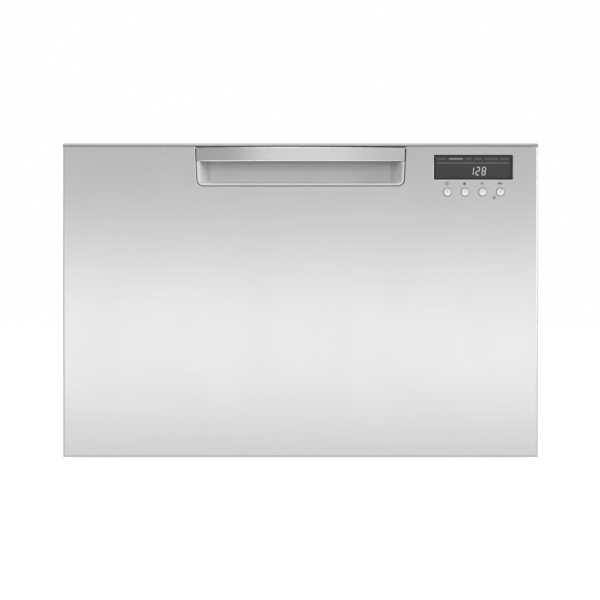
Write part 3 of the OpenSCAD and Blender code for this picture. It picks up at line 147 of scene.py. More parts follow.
def brushing_group():
    """Long fine scratches: the vector is squeezed along the grain."""
    sheet, given, out = new_group(
        "fine_brushing",
        {"Vector": ("vector", None), "Stretch": ("vector", (14, 14, 2600))},
        {"Tone": "value", "Height": "value"})
    along = sheet.stretch(given["Vector"], given["Stretch"])
    fine = sheet.noise(along, 1.0, 3.0, 0.62)
    wider = sheet.noise(along, 0.23, 2.0, 0.5)
    cloud = sheet.noise(given["Vector"], 5.0, 2.0, 0.5)
    both = sheet.maths("ADD", sheet.maths("MULTIPLY", fine, 0.6),
                       sheet.maths("MULTIPLY", wider, 0.4))
    sheet.put(out["Height"], both)
    toned = sheet.maths("ADD", sheet.maths("MULTIPLY", both, 0.8),
                        sheet.maths("MULTIPLY", cloud, 0.2))
    sheet.put(out["Tone"], sheet.ramp(toned, 0.34, 0.66))
    return sheet.tree


def moulding_group():
    """Spark-eroded grain of a moulding, with a slow change in its tone."""
    sheet, given, out = new_group(
        "moulded_grain",
        {"Vector": ("vector", None), "Grain": ("value", 1400.0), "Cloud": ("value", 9.0)},
        {"Tone": "value", "Height": "value"})
    pits = sheet.node("TexVoronoi", {"Vector": given["Vector"], "Scale": given["Grain"]},
                      feature="SMOOTH_F1")
    fine = sheet.noise(given["Vector"], given["Grain"], 2.0, 0.6)
    sheet.put(out["Height"], sheet.maths(
        "ADD", sheet.maths("MULTIPLY", pits.outputs["Distance"], 0.5),
        sheet.maths("MULTIPLY", fine, 0.5)))
    cloud = sheet.noise(given["Vector"], given["Cloud"], 3.0, 0.55)
    speck = sheet.noise(given["Vector"], 900.0, 1.0, 0.5)
    sheet.put(out["Tone"], sheet.ramp(
        sheet.maths("ADD", sheet.maths("MULTIPLY", cloud, 0.7),
                    sheet.maths("MULTIPLY", speck, 0.3)), 0.34, 0.66))
    return sheet.tree


def spangle_group():
    """Frosty crystals of hot-dip zinc."""
    sheet, given, out = new_group(
        "zinc_spangle",
        {"Vector": ("vector", None), "Size": ("value", 90.0)},
        {"Tone": "value", "Height": "value"})
    bent = sheet.node("TexNoise", {"Vector": given["Vector"], "Scale": 40.0, "Detail": 2.0})
    shifted = sheet.node("VectorMath", {0: given["Vector"], 1: sheet.stretch(
        bent.outputs["Color"], (0.012, 0.012, 0.012))}, operation="ADD")
    cells = sheet.node("TexVoronoi", {"Vector": shifted.outputs[0], "Scale": given["Size"]})
    apart = sheet.node("SeparateColor", {0: cells.outputs["Color"]})
    streak = sheet.noise(sheet.stretch(given["Vector"], (700, 700, 60)), 1.0, 2.0)
    tone = sheet.maths("ADD", sheet.maths("MULTIPLY", apart.outputs[0], 0.75),
                       sheet.maths("MULTIPLY", streak, 0.25))
    sheet.put(out["Tone"], tone)
    sheet.put(out["Height"], sheet.maths("MULTIPLY", tone, 0.5))
    return sheet.tree


def marks_group():
    """Wiped smears and a few hairline scuffs, as a value round one half."""
    sheet, given, out = new_group(
        "handling_marks",
        {"Vector": ("vector", None), "Size": ("value", 14.0), "Scuffs": ("value", 0.4)},
        {"Smear": "value", "Scuff": "value"})
    smear = sheet.noise(sheet.stretch(given["Vector"], (1.0, 1.0, 0.45)), given["Size"], 4.0, 0.55)
    sheet.put(out["Smear"], sheet.ramp(smear, 0.3, 0.7))
    turned = sheet.node("VectorRotate", {"Vector": given["Vector"]},
                        rotation_type="EULER_XYZ")
    turned.inputs["Rotation"].default_value = (0.4, 0.9, 0.5)
    hair = sheet.noise(sheet.stretch(turned.outputs[0], (9, 900, 900)), 1.0, 1.0)
    patch = sheet.noise(given["Vector"], 22.0, 1.0)
    lines = sheet.maths("MULTIPLY", sheet.ramp(hair, 0.72, 0.8), sheet.ramp(patch, 0.52, 0.62))
    sheet.put(out["Scuff"], sheet.maths("MULTIPLY", lines, given["Scuffs"]))
    return sheet.tree


def edge_group():
    """Finds the edges of a shape: a mask of worn places and a rounded normal."""
    sheet, given, out = new_group(
        "soft_edges",
        {"Vector": ("vector", None), "Radius": ("value", 0.0006)},
        {"Wear": "value", "Normal": "vector"})
    rounded = sheet.node("Bevel", {"Radius": given["Radius"]}, samples=4)
    surface = sheet.node("NewGeometry")
    agree = sheet.node("VectorMath", {0: rounded.outputs[0], 1: surface.outputs["Normal"]},
                       operation="DOT_PRODUCT")
    edge = sheet.ramp(agree.outputs["Value"], 0.98, 0.82)
    broken = sheet.ramp(sheet.noise(given["Vector"], 60.0, 4.0, 0.6), 0.4, 0.62)
    sheet.put(out["Wear"], sheet.maths("MULTIPLY", edge, broken, clamp=True))
    sheet.put(out["Normal"], rounded.outputs[0])
    return sheet.tree


BRUSHED, MOULDED, SPANGLED = brushing_group(), moulding_group(), spangle_group()
MARKED, EDGED = marks_group(), edge_group()


# ---------------------------------------------------------------- finishes

def finish(name, light, dark, rough, metal=0.0, texture=None, texture_set=None, depth=0.02,
           spread=0.06, worn=None, wear=0.5, edge=0.0005, scuffs=0.3, ior=1.5, glow=None):
    """One material: two tones mixed by its texture, marks in its gloss, worn edges.

    light and dark are linear colours; spread is how far the marks move the gloss.
    """
    made = bpy.data.materials.new(name)
    made.use_nodes = True
    made.diffuse_color = (*light, 1)
    sheet = Sheet(made.node_tree)
    shader = made.node_tree.nodes["Principled BSDF"]
    place = sheet.node("TexCoord").outputs["Object"]
    grain = sheet.group(texture or MOULDED, Vector=place, **(texture_set or {}))
    marks = sheet.group(MARKED, Vector=place, Scuffs=scuffs)
    edges = sheet.group(EDGED, Vector=place, Radius=edge)
    colour = sheet.mix(grain["Tone"], dark, light)
    rubbed = worn or tuple(min(1.0, value * 1.25 + 0.02) for value in light)
    colour = sheet.mix(sheet.maths("MULTIPLY", edges["Wear"], wear), colour, rubbed)
    colour = sheet.mix(sheet.maths("MULTIPLY", marks["Scuff"], 0.5), colour, rubbed)
    sheet.put(shader.inputs["Base Color"], colour)
    gloss = sheet.ramp(marks["Smear"], 0.0, 1.0, rough - spread / 2, rough + spread / 2)
    sheet.put(shader.inputs["Roughness"], sheet.maths(
        "SUBTRACT", gloss, sheet.maths("MULTIPLY", marks["Scuff"], 0.1)))
    bump = sheet.node("Bump", {"Height": grain["Height"], "Normal": edges["Normal"],
                               "Strength": depth, "Distance": 0.0004})
    sheet.put(shader.inputs["Normal"], bump.outputs[0])
    shader.inputs["Metallic"].default_value = metal
    shader.inputs["IOR"].default_value = ior
    if glow:
        shader.inputs["Emission Color"].default_value = (*glow, 1)
        shader.inputs["Emission Strength"].default_value = 1.0
    return made


def grey(value, warm=0.0):
    """A linear grey, a touch warm or cool."""
    return (value * (1 + warm), value, value * (1 - warm))


front_steel = finish("front_steel", grey(0.367), grey(0.347), 0.30, metal=1.0, texture=BRUSHED,
                     depth=0.05, spread=0.03, wear=0.25, edge=0.0004, scuffs=0.12)
# painted highlight: a bright steel put on rounded edges that face the lamps
steel_painted_highlight = finish("steel_painted_highlight", grey(0.68), grey(0.64), 0.28, metal=1.0, texture=BRUSHED,
                    depth=0.02, spread=0.03, wear=0.0, edge=0.0001, scuffs=0.05)
trim_grey = finish("trim_grey", grey(0.25), grey(0.23), 0.34, metal=1.0, texture=BRUSHED,
                   depth=0.03, spread=0.05, worn=grey(0.3), edge=0.0004)
bar_steel = finish("bar_steel", grey(0.345), grey(0.315), 0.16, metal=1.0, texture=BRUSHED,
                   texture_set={"Stretch": (10, 10, 3200)}, depth=0.05, spread=0.04,
                   wear=0.3, edge=0.0003, scuffs=0.2)
# painted highlight: a brighter copy of the bar's steel for its rounded edges
bar_painted_highlight = finish("bar_painted_highlight", grey(0.6), grey(0.56), 0.2, metal=1.0, texture=BRUSHED,
                  texture_set={"Stretch": (10, 10, 3200)}, depth=0.02, spread=0.03,
                  wear=0.0, edge=0.0001, scuffs=0.1)
# the pocket rim's own metal; on the front's handle opening it is a painted highlight on the edges
# that face right
rim_metal_and_highlight = finish("rim_metal_and_highlight", grey(0.46), grey(0.43), 0.3, metal=1.0, texture=BRUSHED,
                   depth=0.03, edge=0.0003)
# painted shade: near black put in gaps and on walls that lie in shade
gap_painted_shade = finish("gap_painted_shade", grey(0.03), grey(0.02), 0.6, wear=0.0)
pocket_grey = finish("pocket_grey", grey(0.56), grey(0.53), 0.42, depth=0.03, spread=0.08,
                     texture_set={"Grain": 1900.0}, edge=0.0006)
button_satin = finish("button_satin", grey(0.45), grey(0.42), 0.42, metal=1.0, texture=BRUSHED,
                      texture_set={"Stretch": (2600, 60, 60)}, depth=0.04, edge=0.0002)
# painted shade: a dark copy of the caps' steel
button_shade = finish("button_shade", grey(0.16), grey(0.13), 0.4, metal=1.0, texture=BRUSHED,
                      depth=0.03, wear=0.0, edge=0.0001)
lens_smoke = finish("lens_smoke", grey(0.005), grey(0.004), 0.06, depth=0.0, spread=0.03,
                    wear=0.0, edge=0.0003, scuffs=0.02, ior=1.48)
field_smoke = finish("field_smoke", grey(0.022), grey(0.019), 0.08, depth=0.0, spread=0.03,
                     wear=0.0, edge=0.0001, scuffs=0.02, ior=1.48)
print_grey = finish("print_grey", grey(0.084), grey(0.077), 0.4, wear=0.0, edge=0.0001)
print_dim = finish("print_dim", grey(0.034), grey(0.031), 0.4, wear=0.0, edge=0.0001)
print_word = finish("print_word", grey(0.06), grey(0.05), 0.4, wear=0.0, edge=0.0001,
                    glow=(0.09, 0.09, 0.094))
print_lit = finish("print_lit", grey(0.08), grey(0.07), 0.4, wear=0.0, edge=0.0001,
                   glow=(0.46, 0.47, 0.48))
icon_grey = finish("icon_grey", grey(0.012), grey(0.009), 0.6, wear=0.0, edge=0.0001)
light_frosted = finish("light_frosted", grey(0.23), grey(0.21), 0.35, edge=0.0002, wear=0.1)
board_green = finish("board_green", (0.012, 0.11, 0.035), (0.006, 0.06, 0.02), 0.35,
                     texture_set={"Grain": 420.0, "Cloud": 220.0}, worn=(0.3, 0.24, 0.1))
frame_plastic = finish("frame_plastic", grey(0.035), grey(0.027), 0.5, depth=0.06)
chassis_sheet = finish("chassis_sheet", grey(0.46, -0.02), grey(0.37, -0.02), 0.38, metal=1.0,
                       texture=SPANGLED, texture_set={"Size": 170.0}, depth=0.02, spread=0.12,
                       worn=grey(0.62), edge=0.0005)
bare_zinc = finish("bare_zinc", grey(0.58, -0.015), grey(0.48, -0.01), 0.28, metal=1.0,
                   texture=BRUSHED, texture_set={"Stretch": (900, 20, 900)}, depth=0.03,
                   spread=0.1, edge=0.0003)
screw_zinc = finish("screw_zinc", (0.62, 0.60, 0.52), (0.5, 0.48, 0.42), 0.24, metal=1.0,
                    texture_set={"Grain": 2500.0, "Cloud": 120.0}, depth=0.02, edge=0.0002)
ball_steel = finish("ball_steel", (0.62, 0.55, 0.36), (0.5, 0.43, 0.27), 0.16, metal=1.0,
                    texture_set={"Cloud": 60.0}, depth=0.01, edge=0.0001)
foot_rubber = finish("foot_rubber", grey(0.022), grey(0.015), 0.7, depth=0.1, wear=0.4,
                     worn=grey(0.06))
gasket_rubber = finish("gasket_rubber", grey(0.03), grey(0.022), 0.62, depth=0.08,
                       worn=grey(0.06), wear=0.4)
seal_rubber = finish("seal_rubber", grey(0.09), grey(0.07), 0.55, depth=0.06, wear=0.2)
tub_plastic = finish("tub_plastic", grey(0.52, -0.02), grey(0.46, -0.02), 0.34, depth=0.03,
                     texture_set={"Grain": 1500.0, "Cloud": 7.0}, spread=0.12, wear=0.25)
lid_plastic = finish("lid_plastic", grey(0.60, 0.01), grey(0.54, 0.01), 0.42, depth=0.05,
                     wear=0.2)
white_nylon = finish("white_nylon", (0.72, 0.71, 0.66), (0.64, 0.63, 0.58), 0.4, depth=0.05,
                     wear=0.1)
black_nylon = finish("black_nylon", grey(0.03, -0.03), grey(0.02, -0.03), 0.5, depth=0.12,
                     texture_set={"Grain": 1000.0}, worn=grey(0.09), wear=0.5)
bay_plastic = finish("bay_plastic", grey(0.028), grey(0.02), 0.5, depth=0.08, worn=grey(0.07))
filter_steel = finish("filter_steel", grey(0.55), grey(0.48), 0.3, metal=1.0, texture=BRUSHED,
                      texture_set={"Stretch": (30, 1500, 30)}, depth=0.04, edge=0.0003)
arm_plastic = finish("arm_plastic", grey(0.12, -0.03), grey(0.095, -0.03), 0.36, depth=0.05,
                     worn=grey(0.22), wear=0.3)
wire_coat = finish("wire_coat", grey(0.26, -0.03), grey(0.22, -0.03), 0.3, depth=0.03,
                   texture_set={"Grain": 900.0}, spread=0.1, wear=0.0, edge=0.0002)
basket_plastic = finish("basket_plastic", grey(0.15, -0.03), grey(0.12, -0.03), 0.42,
                        depth=0.06, worn=grey(0.24), wear=0.3)
motor_metal = finish("motor_metal", grey(0.42), grey(0.3), 0.45, metal=1.0, depth=0.15,
                     texture_set={"Grain": 600.0, "Cloud": 30.0}, edge=0.0006)

NODE_FINISH = {
    "front_frame": frame_plastic, "control_board": board_green,
    "button_carrier": frame_plastic, "status_light": light_frosted,
    "chassis_side_left": chassis_sheet, "chassis_side_right": chassis_sheet,
    "chassis_back": chassis_sheet, "base_pan": chassis_sheet, "levelling_feet": foot_rubber,
    "brace_front": chassis_sheet, "brace_rear": chassis_sheet, "edge_gasket": gasket_rubber,
    "service_bay": bay_plastic, "water_valve": white_nylon, "drain_spigot": black_nylon,
    "mains_box": black_nylon, "flood_float": white_nylon,
    "runner_outer_left": bare_zinc, "runner_outer_right": bare_zinc,
    "runner_middle_left": bare_zinc, "runner_middle_right": bare_zinc,
    "runner_inner_left": bare_zinc, "runner_inner_right": bare_zinc,
    "outer_ball_cages": ball_steel, "inner_ball_cages": ball_steel,
    "lid_panel": lid_plastic, "lid_seal": seal_rubber,
    "lid_actuator_left": black_nylon, "lid_actuator_right": black_nylon,
    "lid_pinion_left": white_nylon, "lid_pinion_right": white_nylon,
    "link_arm_chassis": black_nylon, "link_arm_tub": black_nylon, "link_mount": bare_zinc,
    "link_anchor": black_nylon, "tub": tub_plastic, "tub_brackets": bare_zinc,
    "filter_plate": filter_steel, "drain_filter": basket_plastic, "spray_arm": arm_plastic,
    "wash_motor": motor_metal, "wash_rotor": motor_metal, "dispenser": tub_plastic,
    "dispenser_door": arm_plastic, "rinse_cap": arm_plastic, "dish_rack": wire_coat,
    "cutlery_basket": basket_plastic, "tine_row_front": wire_coat,
    "tine_row_rear": wire_coat, "cup_rack_left": basket_plastic,
    "cup_rack_right": basket_plastic,
}


def dress(piece, material):
    """Gives a piece one material in place of all that it had."""
    piece.data.materials.clear()
    piece.data.materials.append(material)


def dress_nodes():
    """Gives each node of the frame that stays its finish."""
    for name, material in NODE_FINISH.items():
        dress(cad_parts[name], material)


# ---------------------------------------------------------------- shaping

def only(piece):
    """Selects one object and makes it the active one."""
    bpy.ops.object.select_all(action="DESELECT")
    piece.select_set(True)
    bpy.context.view_layer.objects.active = piece


def edit(piece):
    only(piece)
    bpy.ops.object.mode_set(mode="EDIT")


def leave():
    bpy.ops.object.mode_set(mode="OBJECT")


def pick(piece, test, kind="FACE"):
    """In edit mode, selects the faces, edges or vertices that pass the test."""
    bpy.ops.mesh.select_mode(type=kind)
    bpy.ops.mesh.select_all(action="DESELECT")
    form = bmesh.from_edit_mesh(piece.data)
    parts = {"VERT": form.verts, "EDGE": form.edges, "FACE": form.faces}[kind]
    for part in parts:
        part.select_set(bool(test(part)))
    form.select_flush(False)
    for part in parts:
        if test(part):
            part.select_set(True)
    bmesh.update_edit_mesh(piece.data)


def add_finish(piece, material, test):
    """Gives a further material to the faces that pass a test of middle and normal."""
    piece.data.materials.append(material)
    slot = len(piece.data.materials) - 1
    for face in piece.data.polygons:
        if test(face.center, face.normal):
            face.material_index = slot


def settle(piece, name):
    """Puts a new piece's place into its mesh and names it."""
    only(piece)
    bpy.ops.object.transform_apply(location=True, rotation=True, scale=True)
    piece.name = name
    piece.data.name = name
    return piece


def apply_modifier(piece, kind, **settings):
    only(piece)
    made = piece.modifiers.new(kind.lower(), kind)
    for name, value in settings.items():
        setattr(made, name, value)
    bpy.ops.object.modifier_apply(modifier=made.name)


def cut_away(piece, cutter):
    """Cuts the cutter's shape out of a piece and removes the cutter."""
    apply_modifier(piece, "BOOLEAN", object=cutter, operation="DIFFERENCE", solver="EXACT")
    bpy.data.objects.remove(cutter)


def join(pieces, name):
    """Makes one named object of several."""
    bpy.ops.object.select_all(action="DESELECT")
    for piece in pieces:
        piece.select_set(True)
    bpy.context.view_layer.objects.active = pieces[0]
    if len(pieces) > 1:
        bpy.ops.object.join()
    made = bpy.context.object
    made.name = name
    made.data.name = name
    return made


def copy_of(piece, matrix):
    """A copy with its own mesh, moved by a matrix."""
    made = bpy.data.objects.new(piece.name, piece.data.copy())
    scene.collection.objects.link(made)
    made.data.transform(matrix)
    return made


def round_off(piece, test, width, segments=3, clamp=True):
    """Bevels the edges that pass a test of their two ends."""
    edit(piece)
    pick(piece, lambda e: all(test(v.co) for v in e.verts)
         and len(e.link_faces) == 2 and e.calc_face_angle(0) > 0.35, kind="EDGE")
    bpy.ops.mesh.bevel(offset=width, segments=segments, clamp_overlap=clamp)
    leave()


def formed(node, name, radius=0.0004, angle=32, segments=2, flat=0.4, smooth=35, rounds=()):
    """Stands for a node: the same shape, merged, with its hard edges rounded.

    rounds lists (test, width, segments, clamp) of edges that get a larger radius first.
    """
    made = bpy.data.objects.new(name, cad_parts[node].data.copy())
    made.data.name = name
    scene.collection.objects.link(made)
    edit(made)
    bpy.ops.mesh.select_all(action="SELECT")
    bpy.ops.mesh.remove_doubles(threshold=2e-6)
    bpy.ops.mesh.dissolve_limited(angle_limit=math.radians(flat))
    leave()
    bpy.ops.mesh.customdata_custom_splitnormals_clear()
    for test, width, count, clamp in rounds:
        round_off(made, test, width, count, clamp)
    if radius:
        apply_modifier(made, "BEVEL", width=radius, segments=segments, limit_method="ANGLE",
                       angle_limit=math.radians(angle), use_clamp_overlap=True)
    only(made)
    bpy.ops.object.shade_smooth_by_angle(angle=math.radians(smooth))
    apply_modifier(made, "WEIGHTED_NORMAL", keep_sharp=True, weight=100)
    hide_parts(node)
    return made


# ---------------------------------------------------------------- the front

NEAR = 0.05 * MM                           # how far a vertex may lie off its face
HANDLE_SIDE = 136 * MM                     # just beside the handle's opening
HANDLE_FOOT = 340 * MM                     # just below it
WINDOW_RIM = 1.0 * MM                      # round the lens, where its opening's edge lies
BUTTONS_X = (170 * MM, 270 * MM)           # the field that holds the buttons' openings
BUTTONS_Z = (330 * MM, 345 * MM)
TRIM_FOOT = TOP - 3.9 * MM                 # the trim's underside and tongues lie lower
TRIM_CREST = TOP - 0.6 * MM                # its top edge lies higher
POCKET_WALL = 1.8 * MM
RIM_FACE = FRONT + 0.5 * MM                # front of the pocket's rim
RIM_BACK = FRONT + 1.6 * MM
BAR_LIFT = 0.3 * MM                        # closes the gap over the grip bar a little
WINDOW_LOW, WINDOW_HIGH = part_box("display_lens")
BAR_LOW, BAR_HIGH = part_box("handle_bar")


def at_handle(place):
    """Whether a place lies on the front, at the handle's opening."""
    return place.y < FRONT + NEAR and abs(place.x) < HANDLE_SIDE and place.z > HANDLE_FOOT


def at_window(place):
    """Whether a place lies on the front, at the window's opening."""
    return (place.y < FRONT + NEAR
            and WINDOW_LOW.x - WINDOW_RIM < place.x < WINDOW_HIGH.x + WINDOW_RIM
            and WINDOW_LOW.z - WINDOW_RIM < place.z < WINDOW_HIGH.z + WINDOW_RIM)


def in_handle(place):
    """Whether a place lies in the handle's opening, at any depth."""
    return at_handle(Vector((place.x, FRONT, place.z)))


def gets_painted_highlight(place, normal):
    """Rounded edges that get a painted highlight, where they face the light: left and foot of the
    window, and right of each button."""
    rounded = -0.97 < normal.y < -0.05 and place.y < FRONT + 0.8 * MM
    if not rounded or in_handle(place):
        return False
    if at_window(Vector((place.x, FRONT, place.z))):
        return max(normal.x, normal.z) > 0.2
    return (normal.x < -0.2 and BUTTONS_X[0] < place.x < BUTTONS_X[1]
            and BUTTONS_Z[0] < place.z < BUTTONS_Z[1])


def make_skin():
    """The formed steel front, with painted highlights and painted shade on the edges round its
    openings.
    """
    skin = formed("front_skin", "steel_front", radius=0.3 * MM,
                  rounds=[(at_handle, 0.6 * MM, 3, True), (at_window, 0.5 * MM, 3, False)])
    dress(skin, front_steel)
    # painted highlight on the rounded edges that face the lamps
    add_finish(skin, steel_painted_highlight, gets_painted_highlight)
    # painted highlight on the handle opening's edges that face right
    add_finish(skin, rim_metal_and_highlight, lambda place, normal: normal.x > 0.2 and normal.y < -0.05
               and in_handle(place))
    # painted shade on the walls of the handle opening
    add_finish(skin, gap_painted_shade, lambda place, normal: abs(normal.y) < 0.05
               and in_handle(place) and place.y < FRONT + 1.0 * MM)
    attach(skin, "drawer")


def make_trim():
    trim = formed("top_trim", "top_trim_strip", radius=0.4 * MM)
    dress(trim, trim_grey)
    # painted shade on the trim's underside and tongues
    add_finish(trim, gap_painted_shade, lambda place, normal: place.z < TRIM_FOOT)
    # painted highlight on the trim's top rounded edge
    add_finish(trim, steel_painted_highlight, lambda place, normal: place.z > TRIM_CREST
               and place.y < FRONT + 3.0 * MM and 0.2 < normal.z < 0.97)
    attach(trim, "drawer")


def make_pocket():
    """The finger pocket: soft at its bottom, a metal rim, and painted shade in the gap round it
    and behind the bar's ends.
    """
    bottom = max(v.co.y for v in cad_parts["handle_pocket"].data.vertices) - POCKET_WALL

    def at_bottom(place):
        return abs(place.y - bottom) < NEAR

    def at_rim(place):
        return abs(place.y - RIM_FACE) < NEAR

    pocket = formed("handle_pocket", "finger_pocket", radius=0.4 * MM, smooth=50,
                    rounds=[(at_bottom, 9 * MM, 6, True), (at_rim, 0.9 * MM, 3, True)])
    dress(pocket, pocket_grey)
    seat = BAR_LOW.z - 0.4 * MM
    add_finish(pocket, rim_metal_and_highlight, lambda place, normal: place.y < RIM_BACK)
    # painted shade on the flange round the rim, the rim's outer walls, and the seats of the bar's
    # ends
    add_finish(pocket, gap_painted_shade, lambda place, normal: normal.y < -0.9
               and FRONT + 0.7 * MM < place.y < FRONT + 1.2 * MM)
    add_finish(pocket, gap_painted_shade, lambda place, normal: abs(normal.y) < 0.05
               and place.y < FRONT + 3.5 * MM and normal.z < 0.5
               and normal.x * place.x > -0.01)
    add_finish(pocket, gap_painted_shade, lambda place, normal: normal.y < -0.5
               and place.z > seat and place.y < FRONT + 20 * MM)
    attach(pocket, "drawer")


def make_bar():
    """The bowed grip bar, its upper edge raised a little, with painted highlights on its top and
    bottom rounded edges.
    """
    bar = formed("handle_bar", "grip_bar", radius=0.0, flat=0.05)
    make_bar_shade_pads()
    middle = (BAR_LOW.z + BAR_HIGH.z) / 2
    for vertex in bar.data.vertices:
        vertex.co.z += BAR_LIFT if vertex.co.z > middle else 0.0
    dress(bar, bar_steel)
    # painted highlight on the bar's rounded top and bottom edges
    add_finish(bar, bar_painted_highlight, lambda place, normal: 0.12 < abs(normal.z) < 0.97
               and place.y < FRONT + 8 * MM)
    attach(bar, "drawer")


def make_window():
    lens = formed("display_lens", "smoked_window", radius=0.3 * MM)
    dress(lens, lens_smoke)
    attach(lens, "drawer")


def make_buttons():
    """The four caps, each with painted shade on its left side, top and foot and a painted
    highlight on its right side.
    """
    for node in ("power_button", "lock_button", "program_button", "start_button"):
        cap = formed(node, node + "_cap", radius=0.3 * MM, segments=3)
        dress(cap, button_satin)
        # painted shade on the cap's left side, top and foot
        add_finish(cap, button_shade, lambda place, normal: normal.x < -0.3 or (
            abs(normal.z) > 0.75 and normal.x < 0.3))
        # painted highlight on the cap's right side
        add_finish(cap, steel_painted_highlight, lambda place, normal: normal.x > 0.3)
        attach(cap, "button_" + node.split("_")[0])


def make_bar_shade_pads():
    """Dark pads in the gasket rubber behind the bar's two ends: painted shade that closes the gap
    beside them.
    """
    middle = (BAR_LOW.z + BAR_HIGH.z) / 2 - 0.5 * MM
    size = (4.4 * MM, 1.2 * MM, BAR_HIGH.z - BAR_LOW.z - 1.5 * MM)
    pads = []
    for side in (-1, 1):
        place = (side * (BAR_HIGH.x + 1.9 * MM), FRONT + 15.2 * MM, middle)
        bpy.ops.mesh.primitive_cube_add(size=1, location=place)
        pad = bpy.context.object
        pad.scale = size
        pads.append(settle(pad, "bar_pad"))
    piece = join(pads, "bar_end_shade_pads")
    apply_modifier(piece, "BEVEL", width=0.2 * MM, segments=2, limit_method="ANGLE")
    # painted shade: a dark finish on the pads
    dress(piece, gasket_rubber)
    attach(piece, "drawer")


# ---------------------------------------------------------------- prints

PRINT = 0.04 * MM                          # thickness of a print


def thick_print(piece):
    """Extrudes a flat print that faces the viewer and closes its back."""
    edit(piece)
    bpy.ops.mesh.select_mode(type="FACE")
    bpy.ops.mesh.select_all(action="SELECT")
    bpy.ops.mesh.extrude_region_move(TRANSFORM_OT_translate={"value": (0, -PRINT, 0)})
    bpy.ops.mesh.select_all(action="SELECT")
    bpy.ops.mesh.normals_make_consistent(inside=False)
    leave()
    return piece


def block_print(x, z, width, height, y):
    """A rectangle, given in millimetres to its middle."""
    bpy.ops.mesh.primitive_plane_add(size=MM, location=(x * MM, y, z * MM),
                                     rotation=(math.radians(90), 0, 0))
    piece = bpy.context.object
    piece.scale = (width, height, 1)
    return thick_print(settle(piece, "block"))


def segment_print(x, z, length, thick, upright, y):
    """One stroke of a number: a bar with pointed ends."""
    radius = thick / 1.732                        # to the corners of a hexagon this thick
    bpy.ops.mesh.primitive_circle_add(vertices=6, radius=radius * MM, fill_type="NGON",
                                      location=(x * MM, y, z * MM),
                                      rotation=(math.radians(90), 0, 0))
    piece = settle(bpy.context.object, "stroke")
    edit(piece)
    half = (length / 2 - radius) * MM
    for side in (-1, 1):
        pick(piece, lambda v: (v.co.x - x * MM) * side > 1e-6, kind="VERT")
        bpy.ops.transform.translate(value=(side * half, 0, 0))
    if upright:
        bpy.ops.mesh.select_all(action="SELECT")
        bpy.ops.transform.rotate(value=math.radians(90), orient_axis="Y",
                                 center_override=(x * MM, y, z * MM))
    leave()
    return thick_print(piece)


# strokes of a number: top, top right, bottom right, bottom, bottom left, top left, middle
STROKES = {"1": "bc", "2": "abged", "8": "abcdefg"}


def number_print(digit, x, z, width, height, thick, y):
    """The strokes of one digit, with a small gap between their ends."""
    gap = 0.25
    spots = {
        "a": (0, height / 2, False), "d": (0, -height / 2, False), "g": (0, 0, False),
        "b": (width / 2, height / 4, True), "c": (width / 2, -height / 4, True),
        "f": (-width / 2, height / 4, True), "e": (-width / 2, -height / 4, True),
    }
    made = []
    for stroke in STROKES[digit]:
        dx, dz, upright = spots[stroke]
        length = (height / 2 if upright else width) - gap
        made.append(segment_print(x + dx, z + dz, length, thick, upright, y))
    return made


def ring_print(x, z, radius, band, y, turn=360.0):
    """A flat ring, or with a smaller turn an arc that is open at its foot."""
    bpy.ops.mesh.primitive_circle_add(vertices=32, radius=radius * MM, fill_type="NGON",
                                      location=(x * MM, y, z * MM),
                                      rotation=(math.radians(90), 0, 0))
    piece = settle(bpy.context.object, "ring")
    edit(piece)
    bpy.ops.mesh.select_mode(type="FACE")
    bpy.ops.mesh.select_all(action="SELECT")
    bpy.ops.mesh.inset(thickness=band * MM)
    bpy.ops.mesh.delete(type="FACE")
    if turn < 360:
        half_gap = math.radians((360 - turn) / 2)

        def at_foot(face):
            middle = face.calc_center_median()
            return abs(math.atan2(middle.x - x * MM, z * MM - middle.z)) < half_gap

        pick(piece, at_foot)
        bpy.ops.mesh.delete(type="FACE")
    leave()
    return thick_print(piece)


def wedge_print(x, z, size, y):
    """A triangle that points right."""
    bpy.ops.mesh.primitive_circle_add(vertices=3, radius=size * MM, fill_type="NGON",
                                      location=(x * MM, y, z * MM),
                                      rotation=(math.radians(90), math.radians(-30), 0))
    piece = settle(bpy.context.object, "wedge")
    return thick_print(piece)


def chevron_print(x, z, size, band, y):
    """A bent bar that points right."""
    arms = []
    for side in (-1, 1):
        arm = block_print(0, 0, size * 1.3, band, 0)
        place = Matrix.Translation((x * MM, y, (z + side * size * 0.42) * MM))
        arm.data.transform(place @ Matrix.Rotation(math.radians(45 * side), 4, "Y"))
        arms.append(arm)
    return arms


# in millimetres: the prints' places are x and z of their middles
WORDS_Z = 379.1                            # the row of words, shown as plain bars
DIM_WORDS = ((171.8, 182.9), (207.7, 215.4), (218.9, 228.4), (232.2, 248.6), (251.7, 263.0))
DIGITS = (("1", 216.0), ("2", 223.4), ("8", 231.0))
DIGITS_Z = 363.6
DIGIT_LEAN = 5.5                           # degrees
ICONS_X, ICONS_Z, ICON_PITCH = 184.4, 348.1, 22.2


